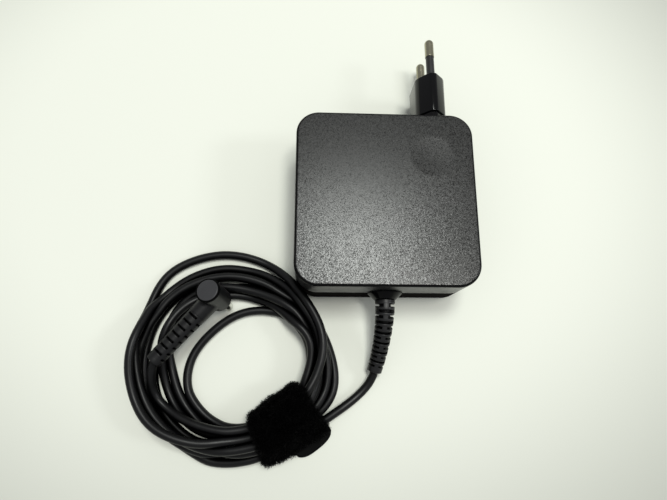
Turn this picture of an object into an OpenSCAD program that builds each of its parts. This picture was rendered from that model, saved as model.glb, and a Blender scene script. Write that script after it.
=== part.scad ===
// Laptop power adapter: fixed two-pin mains plug, coiled output cord, right-angle barrel connector.
// Millimetres. Origin at the centre of the flat underside, +Z up, +Y towards the plug.
// The cord leaves at -Y.

/* [Housing] */
// Width and depth of the square housing
body_w = 74; // [72:1:84]
// Height of the housing
body_h = 30; // [29:0.5:34]
// Radius of the four upright corners
corner_r = 9.5; // [7:0.5:12]
// Rounding of the upper rim
rim_r = 1.2; // [0.6:0.1:1.8]
// Rounding of the lower rim
base_r = 1.5; // [0.6:0.1:1.8]
// Height of the joint between the two shells
split_z = 14.5; // [13.5:0.5:15.5]
// Thickness of the shells
wall = 2; // [1.8:0.1:2.4]
// Height of the tongue that locates the upper shell
lip_h = 1.4; // [0.8:0.1:2]
// Thickness of that tongue
lip_t = 0.9; // [0.6:0.1:1.1]
// Clearance between pieces that fit together
fit = 0.1; // [0.05:0.01:0.15]

/* [Mains plug] */
// Distance of the plug's middle from the side of the housing
plug_in = 15; // [14:0.5:21]
// Width of the plug block
plug_w = 13.2; // [12:0.1:13.7]
// Height of the plug block
plug_h = 26; // [25.8:0.1:26.4]
// Length of the plug block outside the housing
plug_len = 21.6; // [18:0.2:28]
// Width of the narrow flats at the top and bottom of the block
plug_flat = 2.4; // [1.8:0.1:3.6]
// Rounding of the long edges of the block
plug_edge_r = 0.8; // [0.3:0.1:0.9]
// Length of the narrower neck next to the housing
neck_len = 3.2; // [2:0.1:4]
// How much narrower the neck is on each side
neck_inset = 1; // [0.6:0.1:1]
// Thickness of the flange that holds the block inside the wall
flange_t = 1.5; // [1:0.1:2]
// Diameter of the plug pins
pin_d = 4; // [4:0.05:4.05]
// Length of the pins beyond the block
pin_len = 19; // [18.5:0.5:19.5]
// Length of the insulating sleeves
sleeve_len = 10; // [9.5:0.5:11]
// Outer diameter of the sleeves
sleeve_d = 3.6; // [3.5:0.05:3.65]
// Spacing of the pins at the block
pin_pitch = 18.6; // [18.4:0.1:18.7]
// Spacing of the pins at their tips
tip_pitch = 17.5; // [17.4:0.1:17.8]

/* [Strain relief] */
// Distance of the cord outlet from the middle of the housing
outlet_x = 0.5; // [-4:0.5:4]
// Largest diameter of the flared collar
collar_d = 14.4; // [13:0.2:16]
// Length of the flared collar
collar_len = 3; // [2.5:0.1:3.5]
// Diameter of the strain relief at the collar
relief_d = 8.4; // [7.8:0.1:9]
// Diameter of the strain relief at its free end
relief_end_d = 6; // [5.6:0.1:6.4]
// Width of the slots that let it bend
relief_slot = 1.1; // [0.8:0.1:1.4]

/* [Cord] */
// Diameter of the cord
cord_d = 3.6; // [3.2:0.1:3.6]
// Distance from one turn of the coil to the next
turn_pitch = 4.05; // [4.05:0.05:4.2]
// Turns in each layer of the coil
layer_turns = 4; // [3:0.5:4]
// Middle radius of the outermost turn
coil_r = 41.5; // [41:0.5:43]
// How far the coil is drawn out of round, towards the tie
coil_oval = 3; // [2:0.5:3]

/* [Cord tie] */
// Width of the strap along the cord
tie_w = 22; // [18:1:22]
// Thickness of the strap and its pile, above and beside the coil
tie_t = 2.4; // [1.5:0.1:3]
// Thickness of the strap under the coil
tie_base_t = 1.2; // [0.8:0.1:1.2]

/* [Connector] */
// Diameter of the upright barrel holder
knob_d = 9.6; // [9:0.1:10.4]
// Height of the holder above the cord's axis
knob_up = 8; // [6:0.5:9]
// Height of the holder below the cord's axis
knob_down = 5.4; // [5:0.1:5.6]
// Diameter of the neck towards the cord
neck_d = 8; // [7:0.2:8.6]
// Length of the neck from the holder's axis
neck_l = 10; // [8:0.5:12]
// Length of the ribbed boot beyond the neck
tail_boot_l = 25; // [23:0.5:25]
// Diameter of the metal barrel
barrel_d = 4; // [3:0.1:4]
// Length of the metal barrel
barrel_l = 9.5; // [8.5:0.1:9.5]
// Diameter of the hole in the barrel's contact
contact_bore = 1.7; // [1.3:0.1:1.9]
// Diameter of the round cap
cap_d = 8.8; // [8:0.1:8.8]

/* [Circuit board] */
// Thickness of the board
board_t = 1.6; // [1:0.2:1.6]
// Height of the posts under the board
post_h = 4; // [3:0.5:4.5]
// Clearance from the board to the shells
board_gap = 3; // [2:0.5:4]
// Thickness of the insulating sheet under the board
sheet_t = 0.4; // [0.2:0.1:0.6]
// Clearance from the tallest part to the lid
lid_gap = 2.4; // [1.5:0.1:4]

/* [Hidden] */
$fn = 48;
eps = 0.01;

// Housing
wall_y = body_w / 2;
plug_x = body_w / 2 - plug_in;
plug_z = body_h / 2;
inner_w = body_w - 2 * wall;
inner_r = corner_r - wall;

// Plug: the pins lean towards each other, and reach past the flange to their springs
plug_end_y = wall_y + plug_len;
flange_y = wall_y - wall - fit;
flange_inset = max(0, plug_h / 2 + wall - plug_z);
pin_lean = atan((pin_pitch - tip_pitch) / 2 / pin_len);
pin_root = wall + flange_t + 2.5;
pin_back_y = wall_y - pin_root;
sleeve_wall = 0.35;
sleeve_root = 6;
pin_core_d = sleeve_d - 2 * sleeve_wall;
blade_t = 0.5;
blade_w = 4;
blade_gap = 0.05;
blade_foot = 4;

// Circuit board
board_z = wall + post_h;
board_top = board_z + board_t;
board_w = inner_w - 2 * board_gap;
board_back = pin_back_y - 1.5;
board_front = -board_w / 2;
leg_d = 0.8;
leg_below = 1;
headroom = body_h - wall - board_top;

// Posts and parts keep their share of the board: their sizes, and the distance between two legs
grid = board_w / 64;
post_d = 5 * grid;
post_in = 5 * grid;
fuse_l = 10 * grid;
fuse_d = 4 * grid;
fuse_span = 12 * grid;
xcap_size = [15, 7, 12] * grid;
xcap_span = 10 * grid;
choke_d = 13 * grid;
choke_bore = 7 * grid;
choke_h = 6 * grid;
choke_wire = 1.4 * grid;
choke_rim = grid;
choke_span = 10 * grid;
choke_wrap = 120;
bridge_size = [14, 3.6, 10] * grid;
bridge_rise = 0.8 * grid;
bridge_span = 10 * grid;
bulk_d = min(16 * grid, headroom - lid_gap);
bulk_l = 26 * grid;
bulk_span = 5 * grid;
bulk_leg_out = grid;
package_size = [4.6, 10, 9] * grid;
package_rise = 3 * grid;
package_span = 5 * grid;
plate_t = 1.5 * grid;
plate_h = 14 * grid;
switch_plate_l = 18 * grid;
rectifier_plate_l = 14 * grid;
core_w = 24 * grid;
core_depth = 14 * grid;
core_leg = 5 * grid;
core_h = headroom - lid_gap;
bobbin_t = grid;
bobbin_rail = 3 * grid;
bobbin_span = 14 * grid;
opto_size = [4.6, 6.4, 3.4] * grid;
opto_span = 2.6 * grid;
ycap_d = 9 * grid;
ycap_t = 3.2 * grid;
ycap_rise = 1.1 * grid;
ycap_span = 5 * grid;
ocap_d = 8 * grid;
ocap_h = min(16 * grid, headroom - lid_gap);
ocap_pitch = 10 * grid;
ocap_span = 2.4 * grid;
ochoke_d = 10 * grid;
ochoke_h = 9 * grid;
ochoke_rim = grid;
ochoke_span = 4 * grid;

// Places of those parts, from the corners of the board
back_right = [board_w / 2, board_back];
back_left = [-board_w / 2, board_back];
front_right = [board_w / 2, board_front];
front_left = [-board_w / 2, board_front];
fuse_at = back_right + [-23, -4] * grid;
xcap_at = back_right + [-38, -6] * grid;
choke_at = back_left + [10, -10] * grid;
bridge_at = back_right + [-9, -13] * grid;
bulk_at = back_left + [10, -20] * grid;
core_at = front_left + [32, 30] * grid;
switch_at = front_right + [-7, 30] * grid;
opto_at = front_right + [-31, 14] * grid;
ycap_at = front_right + [-41, 15] * grid;
rectifier_at = front_right + [-7, 13] * grid;
ocap_at = front_left + [9.5, 7] * grid;
ochoke_at = front_right + [-17, 7] * grid;

// Cord outlet and strain relief: the relief follows a curve through four control points
outlet_z = split_z;
hub_d = collar_d - 2.6;
collar_flange_d = collar_d + 1.6;
relief_start = [outlet_x, -wall_y - collar_len, outlet_z];
relief_curve = [
    relief_start,
    [outlet_x, -wall_y - 13, outlet_z],
    [outlet_x - 1.1, -wall_y - 23, 7.2],
    [outlet_x - 3.7, -wall_y - 31.5, 4.4]
];
relief_step = 2;
relief_ribs = 14;
relief_len = 30.6;
relief_web = 4.6;
web_inset = 0.6;

// Inner end of the cord
stub_at = [outlet_x, board_front + 3];
stub_y = -wall_y + wall + fit + flange_t;
stub_l = 2.4;
wire_d = 1.2;
wire_gap = 0.9;
clamp_l = 2;
clamp_t = 0.8;

// Coil: two layers, wound clockwise from the tie, inwards below and outwards above
coil_centre = [-wall_y - 26, -wall_y - 25.8];
coil_start_a = -50.5;
tie_shift = 1;
coil_long_a = 130;
rings_per_turn = 24;
coil_turns = 2 * layer_turns + 0.05;
turn_back = layer_turns + 0.25;
climb_half = 0.25;
layer_step = turn_pitch;
table_gap = 0.05;
lead_sides = 8;
lead_flat = cord_d / 2 * cos(180 / lead_sides);
tie_lift = tie_base_t - table_gap - cord_d / 2 + lead_flat + 0.02;
lift_flat_a = 32;
lift_end_a = 75;

// Connector: its middle is where the cord's axis meets the barrel's axis
connector_at = [coil_centre[0] - 5.9, coil_centre[1] + 23.6, 15.3];
connector_turn = 228.5;
connector_dip = 1;
connector_roll = 15;
tail_boot_end = neck_l + tail_boot_l;
tail_boot_d = 7.4;
tail_boot_end_d = 6.6;
tail_boot_web = 4.4;
tail_boot_ribs = 14;
tail_boot_ring = 3;
tail_boot_slot = 0.9;
barrel_wall = 0.35;
barrel_bore = barrel_d - 2 * barrel_wall;
barrel_root = 2.5;
contact_wall = 0.25;
cap_t = 1.2;
cap_proud = 0.3;
cap_edge = 0.3;

// Middle of the cord where it lies free: out of the strain relief, measured from its end,
// then into the coil and out of it to the connector, measured from under the coil's centre
lead_out = [
    [-3.4, -6.5, -2],
    [-7, -10.3, -2.5]
];
lead_in = [
    [48, -19.7, 2.2],
    [42.6, -23.6, 2.95],
    [37, -27.8, 3.1]
];
tail_route = [
    [6, -41.8, 8.2],
    [-0.5, -41.4, 9.6],
    [-7.5, -38.6, 10.2],
    [-14, -34.4, 10.2],
    [-20.2, -29, 10.2],
    [-25.8, -22.6, 10.3],
    [-30, -16, 11],
    [-32.4, -10.2, 12.6],
    [-32.8, -6.4, 14.2]
];
function from_coil(route) = [for (p = route) [coil_centre[0] + p[0], coil_centre[1] + p[1], p[2]]];

// ---- general functions ----
function unit(v) = v / norm(v);
function ease(x) = x <= 0 ? 0 : x >= 1 ? 1 : x * x * (3 - 2 * x);
function bezier(p, t) =
    p[0] * pow(1 - t, 3) + 3 * p[1] * t * pow(1 - t, 2) + 3 * p[2] * t * t * (1 - t) + p[3] * pow(t, 3);
function bezier_dir(p, t) =
    unit((p[1] - p[0]) * pow(1 - t, 2) + 2 * (p[2] - p[1]) * t * (1 - t) + (p[3] - p[2]) * t * t);
function wrap_angle(a) = a - 360 * round(a / 360);

// Direction of a path at point i
function heading(path, i) =
    unit(path[min(i + 1, len(path) - 1)] - path[max(i - 1, 0)]);

// One ring of a tube, square to its heading
function ring(c, dir, r, sides, turn) =
    let (side = unit(cross(dir, [0, 0, 1])), up = cross(side, dir))
    [for (k = [0:sides - 1])
        let (a = turn + 360 * k / sides)
        c + r * (cos(a) * side + sin(a) * up)];

// A closed tube along a path, made of triangles
module tube(path, d, sides, turn = 0) {
    n = len(path);
    points = [for (i = [0:n - 1]) each ring(path[i], heading(path, i), d / 2, sides, turn)];
    skin = [for (i = [0:n - 2], k = [0:sides - 1])
        let (a = i * sides + k, b = i * sides + (k + 1) % sides)
        each [[a, a + sides, b], [b, a + sides, b + sides]]];
    first_cap = [for (k = [1:sides - 2]) [0, k, k + 1]];
    last_cap = [for (k = [1:sides - 2]) let (e = (n - 1) * sides) [e, e + k + 1, e + k]];
    polyhedron(points, concat(skin, first_cap, last_cap));
}

// Turns local Z along a direction, with local X pointing down
module aim(at, dir) {
    translate(at)
        rotate([0, acos(dir[2]), atan2(dir[1], dir[0])])
            children();
}

// Convex outline with rounded corners, listed anticlockwise
module rounded_outline(points, r) {
    n = len(points);
    corners = [for (i = [0:n - 1])
        let (
            p = points[i],
            a = unit(points[(i + n - 1) % n] - p),
            b = unit(points[(i + 1) % n] - p),
            half = acos(a * b) / 2
        )
        [p + a * r / tan(half), p + b * r / tan(half), p + unit(a + b) * r / sin(half)]];
    polygon([for (c = corners) each [c[0], c[1]]]);
    for (c = corners)
        translate(c[2]) circle(r);
}

// ---- housing ----
module upright_profile(r, h, edge) {
    square([r - edge, h]);
    square([r, h - edge]);
    translate([r - edge, h - edge]) circle(edge);
}

module square_profile(w, h, edge) {
    translate([-w / 2, 0]) square([w, h - edge]);
    translate([-w / 2 + edge, 0]) square([w - 2 * edge, h]);
    for (side = [-1, 1])
        translate([side * (w / 2 - edge), h - edge]) circle(edge);
}

// Square block with round upright corners and a rounded upper rim
module soft_block(w, h, r, edge) {
    reach = w / 2 - r;
    for (x = [-1, 1], y = [-1, 1])
        translate([x * reach, y * reach, 0])
            rotate_extrude()
                intersection() {
                    upright_profile(r, h, edge);
                    square([r, h]);
                }
    for (turn = [0, 90])
        rotate([90, 0, turn])
            translate([0, 0, -reach])
                linear_extrude(2 * reach)
                    intersection() {
                        square_profile(w, h, edge);
                        translate([-w / 2, 0]) square([w, h]);
                    }
}

module plain_block(w, h, r) {
    reach = w / 2 - r;
    linear_extrude(h) {
        square([w, 2 * reach], center = true);
        square([2 * reach, w], center = true);
        for (x = [-1, 1], y = [-1, 1])
            translate([x * reach, y * reach]) circle(r);
    }
}

// Ring that stands on the joint, in the inner half of the wall
module lip_ring(t, h, extra) {
    translate([0, 0, split_z - eps])
        difference() {
            plain_block(inner_w + 2 * t, h + eps, inner_r + t);
            translate([0, 0, -1]) plain_block(inner_w - 2 * extra, h + 2, inner_r - extra);
        }
}

// Space for the plug's neck, which the shells hold, and for the collar
module wall_openings() {
    translate([plug_x, wall_y + 1, plug_z])
        rotate([90, 0, 0])
            linear_extrude(wall + 2)
                plug_outline(neck_inset);
    translate([outlet_x, -wall_y - 1, outlet_z])
        rotate([-90, 0, 0])
            cylinder(d = hub_d + 2 * fit, h = wall + 2);
}

module bottom_housing() {
    color("#1c1c1e") {
        difference() {
            union() {
                difference() {
                    translate([0, 0, split_z])
                        mirror([0, 0, 1])
                            soft_block(body_w, split_z, corner_r, base_r);
                    translate([0, 0, wall]) plain_block(inner_w, body_h, inner_r);
                }
                lip_ring(lip_t, lip_h, 0);
            }
            wall_openings();
        }
        for (x = [-1, 1], y = [board_front + post_in, board_back - post_in])
            translate([x * (board_w / 2 - post_in), y, wall - eps])
                cylinder(d = post_d, h = post_h + eps);
    }
}

module top_cover() {
    color("#2a2a2c")
        difference() {
            translate([0, 0, split_z]) soft_block(body_w, body_h - split_z, corner_r, rim_r);
            translate([0, 0, split_z - 1]) plain_block(inner_w, body_h - wall - split_z + 1, inner_r);
            lip_ring(lip_t + fit, lip_h + fit, 1);
            wall_openings();
        }
}

// ---- mains plug ----
module plug_outline(inset) {
    half_w = plug_w / 2 - inset;
    half_h = plug_h / 2 - inset;
    flat = plug_flat / 2;
    step = half_w - flat;
    rounded_outline([
        [half_w, -half_h + step], [half_w, half_h - step], [flat, half_h], [-flat, half_h],
        [-half_w, half_h - step], [-half_w, -half_h + step], [-flat, -half_h], [flat, -half_h]
    ], plug_edge_r);
}

// Extrudes the plug's outline along +Y, from y0 to y1
module plug_bar(y0, y1, inset) {
    translate([plug_x, y1, plug_z])
        rotate([90, 0, 0])
            linear_extrude(y1 - y0)
                plug_outline(inset);
}

// Places a child at the root of each pin, with Z along the pin
module each_pin() {
    for (side = [-1, 1])
        translate([plug_x, plug_end_y, plug_z + side * pin_pitch / 2])
            rotate([-90 - side * pin_lean, 0, 0])
                children();
}

module plug_head() {
    color("#151517")
        difference() {
            union() {
                plug_bar(wall_y + neck_len, plug_end_y, 0);
                plug_bar(flange_y, wall_y + neck_len + eps, neck_inset);
                plug_bar(flange_y - flange_t, flange_y + eps, flange_inset);
            }
            each_pin() {
                translate([0, 0, -2 * plug_len]) cylinder(d = pin_core_d, h = 3 * plug_len);
                translate([0, 0, -sleeve_root]) cylinder(d = sleeve_d, h = 2 * sleeve_root);
            }
        }
}

module plug_pins() {
    color("#b9b4a6")
        each_pin() {
            dome = pin_d / 2;
            inside = plug_len + pin_root;
            translate([0, 0, sleeve_len]) cylinder(d = pin_d, h = pin_len - sleeve_len - dome);
            translate([0, 0, pin_len - dome])
                intersection() {
                    sphere(d = pin_d);
                    cylinder(d = pin_d + 1, h = pin_d);
                }
            translate([0, 0, -inside]) cylinder(d = pin_core_d, h = inside + sleeve_len + eps);
        }
}

module pin_sleeves() {
    color("#232325")
        each_pin()
            translate([0, 0, -sleeve_root])
                difference() {
                    cylinder(d = sleeve_d, h = sleeve_root + sleeve_len);
                    translate([0, 0, -1]) cylinder(d = pin_core_d, h = sleeve_root + sleeve_len + 2);
                }
}

// A blade on the inner end of each pin, with a foot on the board
module contact_springs() {
    blade_y = pin_back_y - blade_t - blade_gap;
    reach = pin_pitch / 2 + 1.5;
    apart = 0.3;
    color("#c9a24b")
        for (side = [-1, 1]) {
            x = plug_x + (side > 0 ? apart : -apart - blade_w);
            low = side > 0 ? board_top : plug_z - reach;
            high = side > 0 ? plug_z + reach : board_top + blade_t;
            translate([x, blade_y, low]) cube([blade_w, blade_t, high - low]);
            translate([x, blade_y - blade_foot, board_top]) cube([blade_w, blade_foot + eps, blade_t]);
        }
}

// ---- cord outlet ----
module output_collar() {
    color("#151517")
        translate([outlet_x, -wall_y, outlet_z])
            rotate([90, 0, 0])
                rotate_extrude()
                    polygon([
                        [0, -wall - fit - flange_t], [collar_flange_d / 2, -wall - fit - flange_t],
                        [collar_flange_d / 2, -wall - fit], [hub_d / 2, -wall - fit], [hub_d / 2, 0],
                        [collar_d / 2, 0], [collar_d / 2, 0.4],
                        [relief_d / 2 + 0.3, collar_len], [0, collar_len]
                    ]);
}

// A bending boot: round ribs along a path, joined by flat webs that stand crosswise in turn
module ribbed_boot(points, dirs, d0, d1, rib, web) {
    n = len(points) - 1;
    for (i = [0:n - 1]) {
        d = d0 + (d1 - d0) * i / n;
        from = points[i] + dirs[i] * rib / 2;
        to = points[i + 1] + dirs[i + 1] * rib / 2;
        reach = norm(to - from);
        aim(points[i], dirs[i]) cylinder(d = d, h = rib);
        aim(from, unit(to - from))
            intersection() {
                cylinder(d = d - web_inset, h = reach);
                rotate([0, 0, 90 * (i % 2)])
                    translate([-d / 2, -web / 2, -1])
                        cube([d, web, reach + 2]);
            }
    }
}

relief_points = [for (i = [0:relief_ribs]) bezier(relief_curve, i * relief_step / relief_len)];
relief_dirs = [for (i = [0:relief_ribs]) bezier_dir(relief_curve, i * relief_step / relief_len)];
relief_end = relief_curve[3];
relief_dir = unit(relief_end - relief_points[relief_ribs]);

module strain_relief() {
    color("#242426") {
        ribbed_boot(
            relief_points, relief_dirs, relief_d, relief_end_d, relief_step - relief_slot, relief_web
        );
        aim(relief_points[relief_ribs], relief_dir)
            cylinder(d = relief_end_d, h = norm(relief_end - relief_points[relief_ribs]));
    }
}

// ---- cord ----
// Radial place of the coil after t turns, counted in turns from its innermost one
function spiral(t) = abs(t - turn_back) - (turn_back - layer_turns);
function coil_lift(a) =
    tie_lift * ease((lift_end_a - abs(wrap_angle(a - coil_start_a))) / (lift_end_a - lift_flat_a));
function coil_point(t) =
    let (
        a = coil_start_a - 360 * t,
        r = coil_r + coil_oval * cos(2 * (a - coil_long_a)) - (layer_turns - spiral(t)) * turn_pitch,
        climb = ease((t - turn_back + climb_half) / (2 * climb_half)),
        z = cord_d / 2 + table_gap + layer_step * climb + coil_lift(a)
    )
    [coil_centre[0] + r * cos(a), coil_centre[1] + r * sin(a), z];
function coil_heading(t) = unit(coil_point(t + 0.001) - coil_point(t - 0.001));

coil_first = coil_point(0);
coil_last = coil_point(coil_turns);
coil_path = concat(
    [coil_first, coil_first + cord_d * coil_heading(0)],
    [for (i = [1:floor(coil_turns * rings_per_turn) - 1]) coil_point(i / rings_per_turn)],
    [coil_last - cord_d * coil_heading(coil_turns), coil_last]
);

// Least distance between turns, measured on points a third of a turn or more apart, less the cord itself
coil_gap = min([
    for (i = [0:len(coil_path) - 1], j = [i + 8:1:len(coil_path) - 1])
        norm(coil_path[i] - coil_path[j])
]) - cord_d;
function path_length(p, i = 1) = i >= len(p) ? 0 : norm(p[i] - p[i - 1]) + path_length(p, i + 1);
echo(coil_gap = coil_gap, coil_length = path_length(coil_path));

lead_path = concat(
    [relief_end, relief_end + 0.8 * cord_d * relief_dir],
    [for (p = lead_out) relief_end + p],
    from_coil(lead_in),
    [coil_first - 1.1 * cord_d * coil_heading(0), coil_first]
);

// A point given from the connector's middle, in the frame of the part
function turned_x(v, a) = [v[0], v[1] * cos(a) - v[2] * sin(a), v[1] * sin(a) + v[2] * cos(a)];
function turned_y(v, a) = [v[0] * cos(a) + v[2] * sin(a), v[1], -v[0] * sin(a) + v[2] * cos(a)];
function turned_z(v, a) = [v[0] * cos(a) - v[1] * sin(a), v[0] * sin(a) + v[1] * cos(a), v[2]];
function at_connector(v) =
    connector_at + turned_z(turned_y(turned_x(v, connector_roll), connector_dip), connector_turn);

tail_path = concat(
    [coil_last, coil_last + 1.1 * cord_d * coil_heading(coil_turns)],
    from_coil(tail_route),
    [at_connector([tail_boot_end + 1.1 * cord_d, 0, 0]), at_connector([tail_boot_end, 0, 0])]
);
echo(lead_length = path_length(lead_path), tail_length = path_length(tail_path));

module cord_lead() {
    color("#202022") tube(lead_path, cord_d, lead_sides, 180 / lead_sides);
}

module cord_coil() {
    color("#202022") tube(coil_path, cord_d, 6);
}

module cord_tail() {
    color("#202022") tube(tail_path, cord_d, lead_sides, 180 / lead_sides);
}

// ---- cord tie ----
// Local X runs outwards from the coil's centre and Y along the cord
module at_tie() {
    translate([coil_centre[0], coil_centre[1], 0])
        rotate([0, 0, coil_start_a])
            children();
}

module cable_tie() {
    gap = 0.3;
    outer = coil_r + coil_oval + cord_d / 2 + gap + 0.6;
    innermost = coil_r + coil_oval - turn_back * turn_pitch;
    far_edge = tie_w / 2 + tie_shift;
    far_r = innermost - coil_oval * (1 - cos(2 * asin(far_edge / (innermost - 1))));
    inner = sqrt(far_r * far_r - far_edge * far_edge) - cord_d / 2 - gap;
    roof = cord_d + layer_step + tie_lift + gap + 0.1;
    top = roof + tie_t;
    tab_l = 3.4;
    tab_r = 5;
    side_r = tie_t - 0.2;
    color("#0c0c0d")
        at_tie()
            translate([0, tie_shift, 0])
            difference() {
                union() {
                    translate([(inner + outer) / 2, tie_w / 2, 0])
                        rotate([90, 0, 0])
                            linear_extrude(tie_w)
                                rounded_outline([
                                    [(outer - inner) / 2 + tie_t, 0], [(outer - inner) / 2 + tie_t, top],
                                    [-(outer - inner) / 2 - tie_t, top], [-(outer - inner) / 2 - tie_t, 0]
                                ], side_r);
                    translate([outer, -1, 0]) {
                        cube([tab_l - 1 + tie_t, tie_w / 2 - tab_r + 1, tie_base_t]);
                        translate([tie_t + tab_l - tab_r, tie_w / 2 - tab_r + 1, 0])
                            cylinder(r = tab_r, h = tie_base_t);
                    }
                }
                translate([inner, -tie_w / 2 - 1, tie_base_t])
                    cube([outer - inner, tie_w + 2, roof - tie_base_t]);
            }
}

// ---- connector ----
module at_plug() {
    translate(connector_at)
        rotate([0, connector_dip, connector_turn])
            rotate([connector_roll, 0, 0])
                children();
}

module connector_body() {
    color("#2b2b2d")
        at_plug()
            difference() {
                union() {
                    translate([0, 0, -knob_down]) cylinder(d = knob_d, h = knob_down + knob_up);
                    rotate([0, 90, 0]) cylinder(d1 = neck_d + 0.6, d2 = neck_d, h = neck_l);
                }
                translate([0, 0, knob_up - cap_t + cap_proud]) cylinder(d = cap_d, h = cap_t);
                translate([0, 0, -knob_down - 1]) cylinder(d = barrel_bore, h = barrel_root + 1);
            }
}

module connector_cap() {
    color("#38383a")
        at_plug()
            translate([0, 0, knob_up + cap_proud - cap_t])
                rotate_extrude()
                    polygon([
                        [0, 0], [cap_d / 2, 0], [cap_d / 2, cap_t - cap_edge],
                        [cap_d / 2 - cap_edge, cap_t], [0, cap_t]
                    ]);
}

module connector_boot() {
    step = (tail_boot_l - tail_boot_ring) / tail_boot_ribs;
    points = [for (i = [0:tail_boot_ribs]) [neck_l + i * step, 0, 0]];
    dirs = [for (p = points) [1, 0, 0]];
    color("#2b2b2d")
        at_plug() {
            ribbed_boot(points, dirs, tail_boot_d, tail_boot_end_d, step - tail_boot_slot, tail_boot_web);
            aim(points[tail_boot_ribs], dirs[0]) cylinder(d = tail_boot_end_d, h = tail_boot_ring);
        }
}

module connector_barrel() {
    color("#c8c8c4")
        at_plug()
            translate([0, 0, -knob_down - barrel_l])
                difference() {
                    cylinder(d = barrel_d, h = barrel_l);
                    translate([0, 0, -1]) cylinder(d = barrel_bore, h = barrel_l + 2);
                }
}

// Lines the barrel, and holds it in the body
module connector_insulator() {
    set_back = 0.4;
    color("#d8d8d2")
        at_plug()
            translate([0, 0, -knob_down - barrel_l + set_back])
                difference() {
                    cylinder(d = barrel_bore, h = barrel_l + barrel_root - set_back);
                    translate([0, 0, -1])
                        cylinder(d = contact_bore + 2 * contact_wall, h = barrel_l - set_back + 1);
                }
}

module connector_contact() {
    set_back = 0.6;
    color("#c9a24b")
        at_plug()
            translate([0, 0, -knob_down - barrel_l + set_back])
                difference() {
                    cylinder(d = contact_bore + 2 * contact_wall, h = barrel_l - set_back);
                    translate([0, 0, -1]) cylinder(d = contact_bore, h = barrel_l - set_back);
                }
}

// ---- circuit board and what stands on it ----
// Puts a child on the board
module on_board(at) {
    translate([at[0], at[1], board_top]) children();
}

// Two wire legs through the board, that end a little above it
module legs(span, rise, turn = 0) {
    for (side = [-1, 1])
        rotate([0, 0, turn])
            translate([side * span / 2, 0, -board_t - leg_below])
                cylinder(d = leg_d, h = board_t + leg_below + rise);
}

// Where two legs pass through the board
function across(at, span) = [at - [span / 2, 0], at + [span / 2, 0]];
function along(at, span) = [at - [0, span / 2], at + [0, span / 2]];
leg_places = concat(
    across(fuse_at, fuse_span), across(xcap_at, xcap_span), along(choke_at, choke_span),
    across(bridge_at, bridge_span), across(bulk_at + [0, bulk_leg_out], bulk_span),
    across(core_at, bobbin_span), along(switch_at, package_span), across(opto_at, opto_span),
    across(ycap_at, ycap_span), along(rectifier_at, package_span), across(ocap_at, ocap_span),
    across(ocap_at + [ocap_pitch, 0], ocap_span), across(ochoke_at, ochoke_span),
    across(stub_at, wire_d + wire_gap)
);

module circuit_board() {
    color("#3f5f3a")
        difference() {
            translate([-board_w / 2, board_front, board_z])
                cube([board_w, board_back - board_front, board_t]);
            for (place = leg_places)
                translate([place[0], place[1], board_z - 1]) cylinder(d = leg_d, h = board_t + 2);
        }
}

module insulating_sheet() {
    color("#d9d2b8")
        difference() {
            translate([-board_w / 2, board_front, wall])
                cube([board_w, board_back - board_front, sheet_t]);
            for (x = [-1, 1], y = [board_front + post_in, board_back - post_in])
                translate([x * (board_w / 2 - post_in), y, wall - 1])
                    cylinder(d = post_d + 2 * fit, h = sheet_t + 2);
        }
}

module fuse() {
    axis_z = fuse_d / 2 + fit;
    wire_l = fuse_span + leg_d;
    color("#c9b38a")
        on_board(fuse_at) {
            translate([-fuse_l / 2, 0, axis_z]) rotate([0, 90, 0]) cylinder(d = fuse_d, h = fuse_l);
            translate([-wire_l / 2, 0, axis_z]) rotate([0, 90, 0]) cylinder(d = leg_d, h = wire_l);
            legs(fuse_span, axis_z);
        }
}

module filter_capacitor() {
    color("#c8b23a")
        on_board(xcap_at) {
            translate([-xcap_size[0] / 2, -xcap_size[1] / 2, 0]) cube(xcap_size);
            legs(xcap_span, 0.5);
        }
}

module line_choke_core() {
    color("#3c3f44")
        on_board(choke_at)
            translate([0, 0, choke_wire])
                difference() {
                    cylinder(d = choke_d, h = choke_h);
                    translate([0, 0, -1]) cylinder(d = choke_bore, h = choke_h + 2);
                }
}

// Two windings that each wrap a third of the ring
module line_choke_winding() {
    ring_w = (choke_d - choke_bore) / 2;
    bore_r = choke_bore / 2;
    hole_r = 0.9 * grid;
    color("#a8572c")
        on_board(choke_at) {
            for (turn = [0, 180])
                rotate([0, 0, 90 - choke_wrap / 2 + turn])
                    rotate_extrude(angle = choke_wrap)
                        difference() {
                            translate([bore_r - hole_r, 0])
                                square([hole_r + ring_w + choke_rim, choke_h + 2 * choke_wire]);
                            translate([bore_r, choke_wire]) square([ring_w, choke_h]);
                        }
            legs(choke_span, 0.5, 90);
        }
}

module bridge_rectifier() {
    color("#1b1b1c")
        on_board(bridge_at) {
            translate([-bridge_size[0] / 2, -bridge_size[1] / 2, bridge_rise]) cube(bridge_size);
            legs(bridge_span, bridge_rise + 0.5);
        }
}

// Lies on its side, with its legs bent down into the board
module bulk_capacitor() {
    color("#2d3238")
        on_board(bulk_at) {
            translate([0, 0, bulk_d / 2]) rotate([90, 0, 0]) cylinder(d = bulk_d, h = bulk_l);
            translate([0, bulk_leg_out, 0]) legs(bulk_span, bulk_d / 2);
            for (side = [-1, 1])
                translate([side * bulk_span / 2, bulk_leg_out + leg_d / 2, bulk_d / 2])
                    rotate([90, 0, 0])
                        cylinder(d = leg_d, h = bulk_leg_out + leg_d);
        }
}

// Upright package, beside its metal plate
module power_package(at) {
    on_board(at) {
        translate([-package_size[0] / 2, -package_size[1] / 2, package_rise]) cube(package_size);
        legs(package_span, package_rise + 0.5, 90);
    }
}

module heat_plate(at, length) {
    on_board(at)
        translate([package_size[0] / 2, -length / 2, 0])
            cube([plate_t, length, plate_h]);
}

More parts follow.
